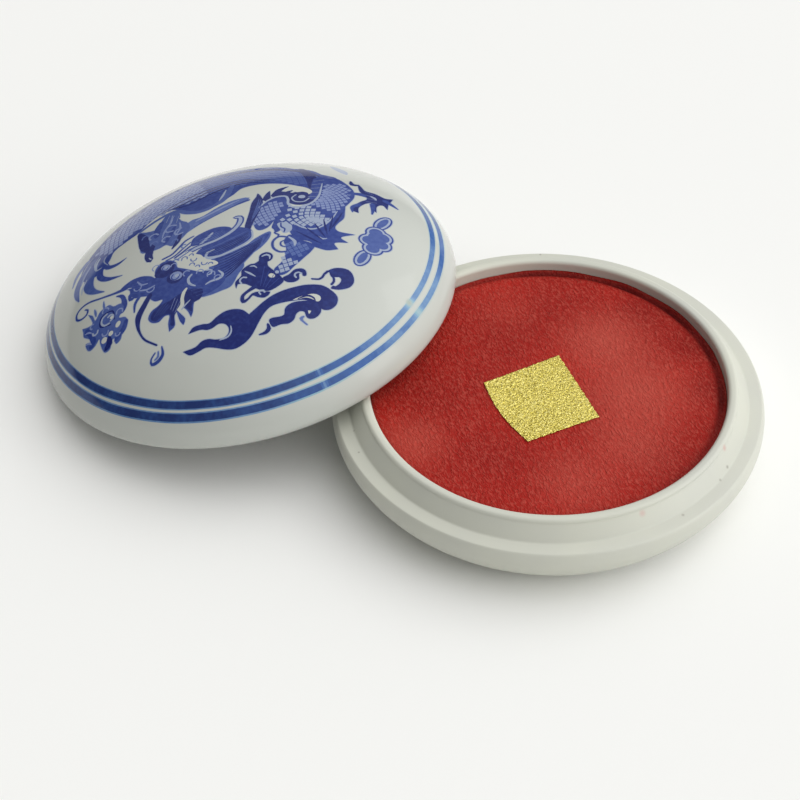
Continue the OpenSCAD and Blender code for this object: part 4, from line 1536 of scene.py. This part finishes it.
    def haze(self, mark: Mark) -> Mark:
        """Gives the pale blue edge that a dark mark bleeds into the glaze round it.

        Args:
            mark: The dark mark.

        Returns:
            The edge, as a mark to lie under the dark one.
        """
        ahead, behind = np.roll(mark.outline, -1, 0), np.roll(mark.outline, 1, 0)
        way = ahead - behind
        way /= np.maximum(np.hypot(way[:, 0], way[:, 1]), 1e-6)[:, None]
        x, y = mark.outline.T
        turning = math.copysign(1.0, float(np.sum(x * ahead[:, 1] - ahead[:, 0] * y)))
        out = np.stack([way[:, 1], -way[:, 0]], 1) * turning
        return Mark(Ink.HAZE, mark.outline + out * self.haze_mm)

    def marks(self) -> list[Mark]:
        """Draws the whole print and returns its marks, the lowest first."""
        self.drawn = []
        # A pale wisp of cloud near the rim, beyond the back
        self.stroke(Ink.PALE, (5.5, 36.5, 0.8), (8, 35, 1.8), (10.5, 33.6, 1.8), (12, 32.4, 0.6))
        for draw in (self.coil, self.tail_tuft, self.far_leg, self.near_body, self.chest, self.fur,
                     self.near_leg, self.near_claw, self.far_claw, self.mane, self.horn, self.forehead,
                     self.head, self.whiskers, self.pearl, self.cloud_scroll, self.small_cloud):
            draw()
        return [self.haze(m) for m in self.drawn if m.ink.value >= Ink.WASH.value] + self.drawn


@dataclass
class Lid:
    """The lid: domed shell, rolled rim and bore, with the print and the double line in its glaze."""

    sizes: BoxSizes
    finish: GlazedPorcelain
    drawing: DragonPrint
    # The crown, cut along the print, and the plain rings that lead from it to the painted lines
    crown_r: float = 41.0
    segments: int = 540
    grid_mm: float = 1.6
    merged_mm: float = 1e-5
    plain_rings: Point = (41.6, 42.2)
    # Each painted line's two radii, and the width of its soft edges
    inner_line: Point = (42.87, 44.28)
    outer_line: Point = (44.62, 45.92)
    soft_edge: float = 0.18
    # How much narrower the lines are where they face the dish, about which angle and over how many degrees
    thinned: float = 0.1
    thin_at: float = 2.0
    thin_reach: float = 40.0
    # How far the brush strays, and how many times round the lid
    wobble: float = 0.1
    wobble_waves: float = 3.0
    # The ink it leaves, what that loses towards the dish and by streaks, and the streaks' waves
    full_ink: float = 0.98
    paled_ink: float = 0.42
    streaked_ink: float = 0.1
    streak_waves: float = 9.0
    # What the soft edges lose, how much more of it towards the dish, and the least ink that stays
    edge_loss: Point = (0.4, 0.5)
    least_ink: float = 0.1
    # Where the brush skipped: angle and reach in degrees, and the ink lost
    skips: tuple[Triple, ...] = ((357.5, 1.6, 0.3), (322.0, 0.9, 0.25))

    def placed(self, axis: Matrix) -> Matrix:
        """Gives the leaning lid's place in the frame, from the dish's axis."""
        s = self.sizes
        lid = Matrix.Translation(Vector((-s.lid_apart, 0, s.lid_z)) * MM)
        return axis @ lid @ Matrix.Rotation(-s.lean, 4, "Y")

    def crown(self, parts: MeshParts, marks: list[Mark]) -> tuple[list[int], dict[int, float]]:
        """Adds the crown, cut along every mark of the print.

        Args:
            parts: The mesh that gets the crown.
            marks: The print's marks, the lowest first.

        Returns:
            The vertices along the crown's edge, and the ink of each face that has some.
        """
        angles = 2 * np.pi * np.arange(self.segments) / self.segments
        points = [self.crown_r * np.stack([np.cos(angles), np.sin(angles)], 1)]
        loops = [self.segments] + [len(m.outline) for m in marks]
        points += [m.outline for m in marks]
        steps = np.arange(-self.crown_r, self.crown_r, self.grid_mm)
        gx, gy = np.meshgrid(steps, steps * math.sqrt(3) / 2)
        gx = gx + (np.arange(len(steps)) % 2 * self.grid_mm / 2)[:, None]
        grid = np.stack([gx.ravel(), gy.ravel()], 1)
        points.append(grid[np.hypot(grid[:, 0], grid[:, 1]) < self.crown_r - 0.5 * self.grid_mm])
        coords = np.concatenate(points)
        edges = []
        first = 0
        for count in loops:
            edges += [(first + k, first + (k + 1) % count) for k in range(count)]
            first += count
        verts, _, faces, sources, _, _ = delaunay_2d_cdt(
            [Vector(p) for p in coords], edges, [], 0, self.merged_mm)
        plane = np.array([(v.x, v.y) for v in verts])
        triangles = np.array([tuple(f) for f in faces])
        ink = self.ink_of(plane[triangles].mean(1), marks)
        start = len(parts.verts)
        first_face = len(parts.faces)
        for x, y in plane:
            parts.verts.append((float(x), float(y), self.sizes.dome_z(math.hypot(x, y))))
        parts.faces += [(start + int(a), start + int(b), start + int(c)) for a, b, c in triangles]
        edge = [0] * self.segments
        for number, given in enumerate(sources):
            for source in given:
                if source < self.segments:
                    edge[source] = start + number
        return edge, {first_face + k: float(v) for k, v in enumerate(ink) if v > 0}

    def ink_of(self, places: np.ndarray, marks: list[Mark]) -> np.ndarray:
        """Finds the ink of the topmost mark over each place.

        Args:
            places: Places on the crown, one a row.
            marks: The marks, the lowest first.

        Returns:
            The ink at each place.
        """
        ink = np.zeros(len(places))
        for mark in marks:
            low, high = mark.outline.min(0), mark.outline.max(0)
            near = np.nonzero(((places >= low) & (places <= high)).all(1))[0]
            p = places[near]
            turns = np.zeros(len(near), int)
            for a, b in zip(mark.outline, np.roll(mark.outline, -1, 0)):
                up = (a[1] <= p[:, 1]) & (b[1] > p[:, 1])
                down = (b[1] <= p[:, 1]) & (a[1] > p[:, 1])
                side = (b[0] - a[0]) * (p[:, 1] - a[1]) - (b[1] - a[1]) * (p[:, 0] - a[0])
                turns += (up & (side > 0)).astype(int) - (down & (side < 0)).astype(int)
            ink[near[turns != 0]] = mark.ink.value
        return ink

    def lower(self, parts: MeshParts, above: list[int], radius: Along) -> list[int]:
        """Adds the dome's next ring below another and joins the two.

        Args:
            parts: The mesh that gets the ring.
            above: The ring of vertices above it.
            radius: The new ring's radius, or one at each vertex.

        Returns:
            The new ring's vertices.
        """
        radii = np.broadcast_to(radius, self.segments)
        ring = parts.ring(radii, np.array([self.sizes.dome_z(float(r)) for r in radii]), self.segments)
        parts.band(ring, above)
        return ring

    def toward_dish(self, angle: float) -> float:
        """Tells how far an angle in degrees faces the dish, from 0 to 1."""
        return math.exp(-(turn_between(angle, self.thin_at) / self.thin_reach) ** 2)

    def chance(self, angle: float, waves: float, seed: float) -> float:
        """Gives a smooth random number, from -1 to 1, at an angle in degrees round the lid."""
        turned = math.radians(angle)
        return wave(math.cos(turned) * waves, math.sin(turned) * waves, seed)

    def line_ink(self, angle: float, seed: float, share: float) -> float:
        """Gives a painted line's ink at an angle in degrees.

        Args:
            angle: The angle, counter-clockwise from the dish.
            seed: A number that tells one line's brushwork from the other's.
            share: How full the line is there, less at its soft edges.

        Returns:
            The ink, from 0 to 1.
        """
        pale = self.toward_dish(angle)
        streak = self.chance(angle, self.streak_waves, seed)
        ink = self.full_ink - self.paled_ink * pale - self.streaked_ink * streak
        for at, reach, loss in self.skips:
            ink -= loss * math.exp(-turn_between(angle, at) ** 2 / reach ** 2)
        lost = (1 - share) * (self.edge_loss[0] + self.edge_loss[1] * pale)
        return max(self.least_ink, ink * (1 - lost))

    def painted(self, parts: MeshParts, above: list[int], line: Point,
                seed: float) -> tuple[list[int], dict[int, float]]:
        """Adds one painted line as a core between two soft edges.

        Args:
            parts: The mesh that gets the line.
            above: The ring of vertices above the line.
            line: The line's two radii.
            seed: A number that tells its brushwork from the other line's.

        Returns:
            The ring below the line, and the ink of each of its faces.
        """
        degrees = np.arange(self.segments) * 360 / self.segments
        thin = self.thinned * np.array([self.toward_dish(a) for a in degrees])
        wobble = self.wobble * np.array([self.chance(a, self.wobble_waves, seed) for a in degrees])
        above = self.lower(parts, above, line[0] + thin + wobble)
        ink = {}
        for radius, share in ((line[0] + self.soft_edge + thin, 0.0), (line[1] - self.soft_edge - thin, 1.0),
                              (line[1] - thin, 0.0)):
            first = len(parts.faces)
            above = self.lower(parts, above, radius + wobble)
            ink.update({first + k: self.line_ink(a, seed, share) for k, a in enumerate(degrees)})
        return above, ink

    def build(self, axis: Matrix) -> bpy.types.Object:
        """Builds the lid.

        Args:
            axis: Place of the dish's axis in the frame.

        Returns:
            The dressed lid.
        """
        s = self.sizes
        parts = MeshParts()
        above, ink = self.crown(parts, self.drawing.marks())
        line_ink: dict[int, float] = {}
        for radius in self.plain_rings:
            above = self.lower(parts, above, radius)
        for line, seed in ((self.inner_line, 1.0), (self.outer_line, 2.0)):
            above, painted = self.painted(parts, above, line, seed)
            line_ink.update(painted)
        dome = superellipse((0, s.lid_belly_z), (s.lid_r, s.dome_h), s.dome_power, steps=60)
        outside = [p for p in dome[::-1] if p[0] > self.outer_line[1] + 2 * self.wobble]
        outside += arc((s.rim_r, s.lid_belly_z), (s.lid_r - s.rim_r, s.lid_belly_z), 0, -90, steps=12)[1:]
        inside = arc((s.bore_r + s.rim_round, s.rim_round), (s.rim_round, s.rim_round), 270, 180, steps=5)
        inside += superellipse((0, s.bore_h), (s.bore_r, s.cavity_h), s.dome_power, steps=28)
        for radius, z in outside + inside[:-1]:
            ring = parts.ring(radius, z, self.segments)
            parts.band(ring, above)
            above = ring
        parts.cap(above, inside[-1][1], upward=False)
        lid = parts.build("porcelain_lid", self.placed(axis), self.finish)
        for name, shares in (("ink", ink), ("line", line_ink)):
            values = np.zeros(len(lid.data.polygons), np.float32)
            values[list(shares)] = list(shares.values())
            lid.data.attributes.new(name, "FLOAT", "FACE").data.foreach_set("value", values)
        LOG.info("lid: %d faces", len(lid.data.polygons))
        return lid


@dataclass(frozen=True)
class Softbox:
    """A soft square lamp: its direction from the box in degrees, its side in metres and its watts."""

    name: str
    azimuth: float
    elevation: float
    side: float
    power: float


@dataclass
class Studio:
    """The paper ground, the soft lights and the camera, set as the photograph has them."""

    # The camera: its direction in degrees, and its distance, aim and lens in millimetres
    azimuth: float = 26.511
    elevation: float = 45.072
    roll: float = -1.4505
    distance: float = 393.51
    aim: Triple = (9.504, -16.336, 14.418)
    lens: float = 83.776
    sensor: float = 36.0
    nearest_m: float = 0.01
    # Soft windows in the world: azimuth and elevation in degrees, and strength. Each starts where the
    # cosine of the angle away from it passes panel_edge, and dim is the room's light between them
    panels: tuple[Triple, ...] = ((25.0, 40.0, 1.15), (115.0, 58.0, 0.74), (-20.0, 40.0, 0.6))
    panel_edge: float = 0.35
    dim: float = 0.04
    white: str = "#FBFBFA"
    softboxes: tuple[Softbox, ...] = (Softbox("back_window", 60, 43, 0.4, 0.5),
                                      Softbox("right_window", 4, 22, 0.5, 1.2))
    softbox_m: float = 1.2
    ground_mm: float = 2000.0

    def camera(self) -> None:
        """Makes the camera and sets it as the scene's."""
        data = bpy.data.cameras.new("camera")
        data.lens = self.lens
        data.sensor_width = self.sensor
        data.clip_start = self.nearest_m
        camera = bpy.data.objects.new("camera", data)
        bpy.context.scene.collection.objects.link(camera)
        turn = (Matrix.Rotation(math.radians(self.azimuth), 4, "Z")
                @ Matrix.Rotation(math.radians(90 - self.elevation), 4, "X")
                @ Matrix.Rotation(math.radians(self.roll), 4, "Z"))
        camera.matrix_world = (Matrix.Translation(Vector(self.aim) * MM) @ turn
                               @ Matrix.Translation((0, 0, self.distance * MM)))
        bpy.context.scene.camera = camera

    def toward(self, azimuth: float, elevation: float) -> Vector:
        """Gives the direction at an azimuth, counter-clockwise from +X, and an elevation, in degrees."""
        a, e = math.radians(azimuth), math.radians(elevation)
        return Vector((math.cos(a) * math.cos(e), math.sin(a) * math.cos(e), math.sin(e)))

    def light(self, softbox: Softbox) -> None:
        """Adds one lamp that faces the box.

        Args:
            softbox: The lamp.
        """
        data = bpy.data.lights.new(softbox.name, "AREA")
        data.shape = "SQUARE"
        data.size = softbox.side
        data.energy = softbox.power
        lamp = bpy.data.objects.new(softbox.name, data)
        bpy.context.scene.collection.objects.link(lamp)
        way = self.toward(softbox.azimuth, softbox.elevation)
        lamp.location = way * self.softbox_m
        lamp.rotation_euler = way.to_track_quat("Z", "Y").to_euler()

    def world(self) -> None:
        """Makes the world: a dim room with soft windows."""
        world = bpy.data.worlds.new("studio")
        bpy.context.scene.world = world
        world.use_nodes = True
        world.node_tree.nodes.clear()
        add = partial(add_node, world.node_tree)
        way = add("TexCoord").outputs["Generated"]
        glow = add("Value")
        glow.outputs[0].default_value = self.dim
        for azimuth, elevation, strength in self.panels:
            facing = add("VectorMath", {"operation": "DOT_PRODUCT", 1: self.toward(azimuth, elevation)},
                         {0: way})
            panel = add("MapRange",
                        {"From Min": self.panel_edge, "To Max": strength, "interpolation_type": "SMOOTHSTEP"},
                        {"Value": facing.outputs["Value"]})
            glow = add("Math", {"operation": "ADD"}, {0: glow, 1: panel})
        sky = add("Background", {"Color": linear(self.white)}, {"Strength": glow})
        add("OutputWorld", {}, {"Surface": sky})

    def build(self) -> None:
        """Sets the camera, the world, the lamps and the paper."""
        self.camera()
        bpy.context.scene.view_settings.view_transform = "Standard"
        self.world()
        for softbox in self.softboxes:
            self.light(softbox)
        far = self.ground_mm
        ground = MeshParts([(-far, -far, 0), (far, -far, 0), (far, far, 0), (-far, far, 0)], [(0, 1, 2, 3)])
        ground.build("paper_ground", Matrix.Identity(4), SheetPaper())


def main() -> None:
    """Loads the frame, builds each sub-assembly over it and reports what was built."""
    logging.basicConfig(level=logging.INFO, format="%(message)s")
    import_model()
    Studio().build()
    sizes = BoxSizes()
    low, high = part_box("base_dish")
    axis = Matrix.Translation(((low.x + high.x) / 2, (low.y + high.y) / 2, 0))
    paste = Paste(sizes, CinnabarPaste())
    made = [
        (Dish(sizes, BisquePorcelain()).build(axis), "base_dish", "base", "bisque_porcelain"),
        (paste.build(axis), "seal_paste", "base", "red_paste"),
        (Foil(paste, GoldLeaf()).build(axis), "gold_foil", "base", "gold_leaf"),
        (Lid(sizes, GlazedPorcelain(), DragonPrint()).build(axis), "lid_shell", "lid", "glazed_porcelain"),
    ]
    for piece, node, body, slot in made:
        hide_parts(node)
        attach(piece, body)
        LOG.info("%s replaces %s and rides on %s", piece.name, node, body)


if __name__ == "__main__":
    main()
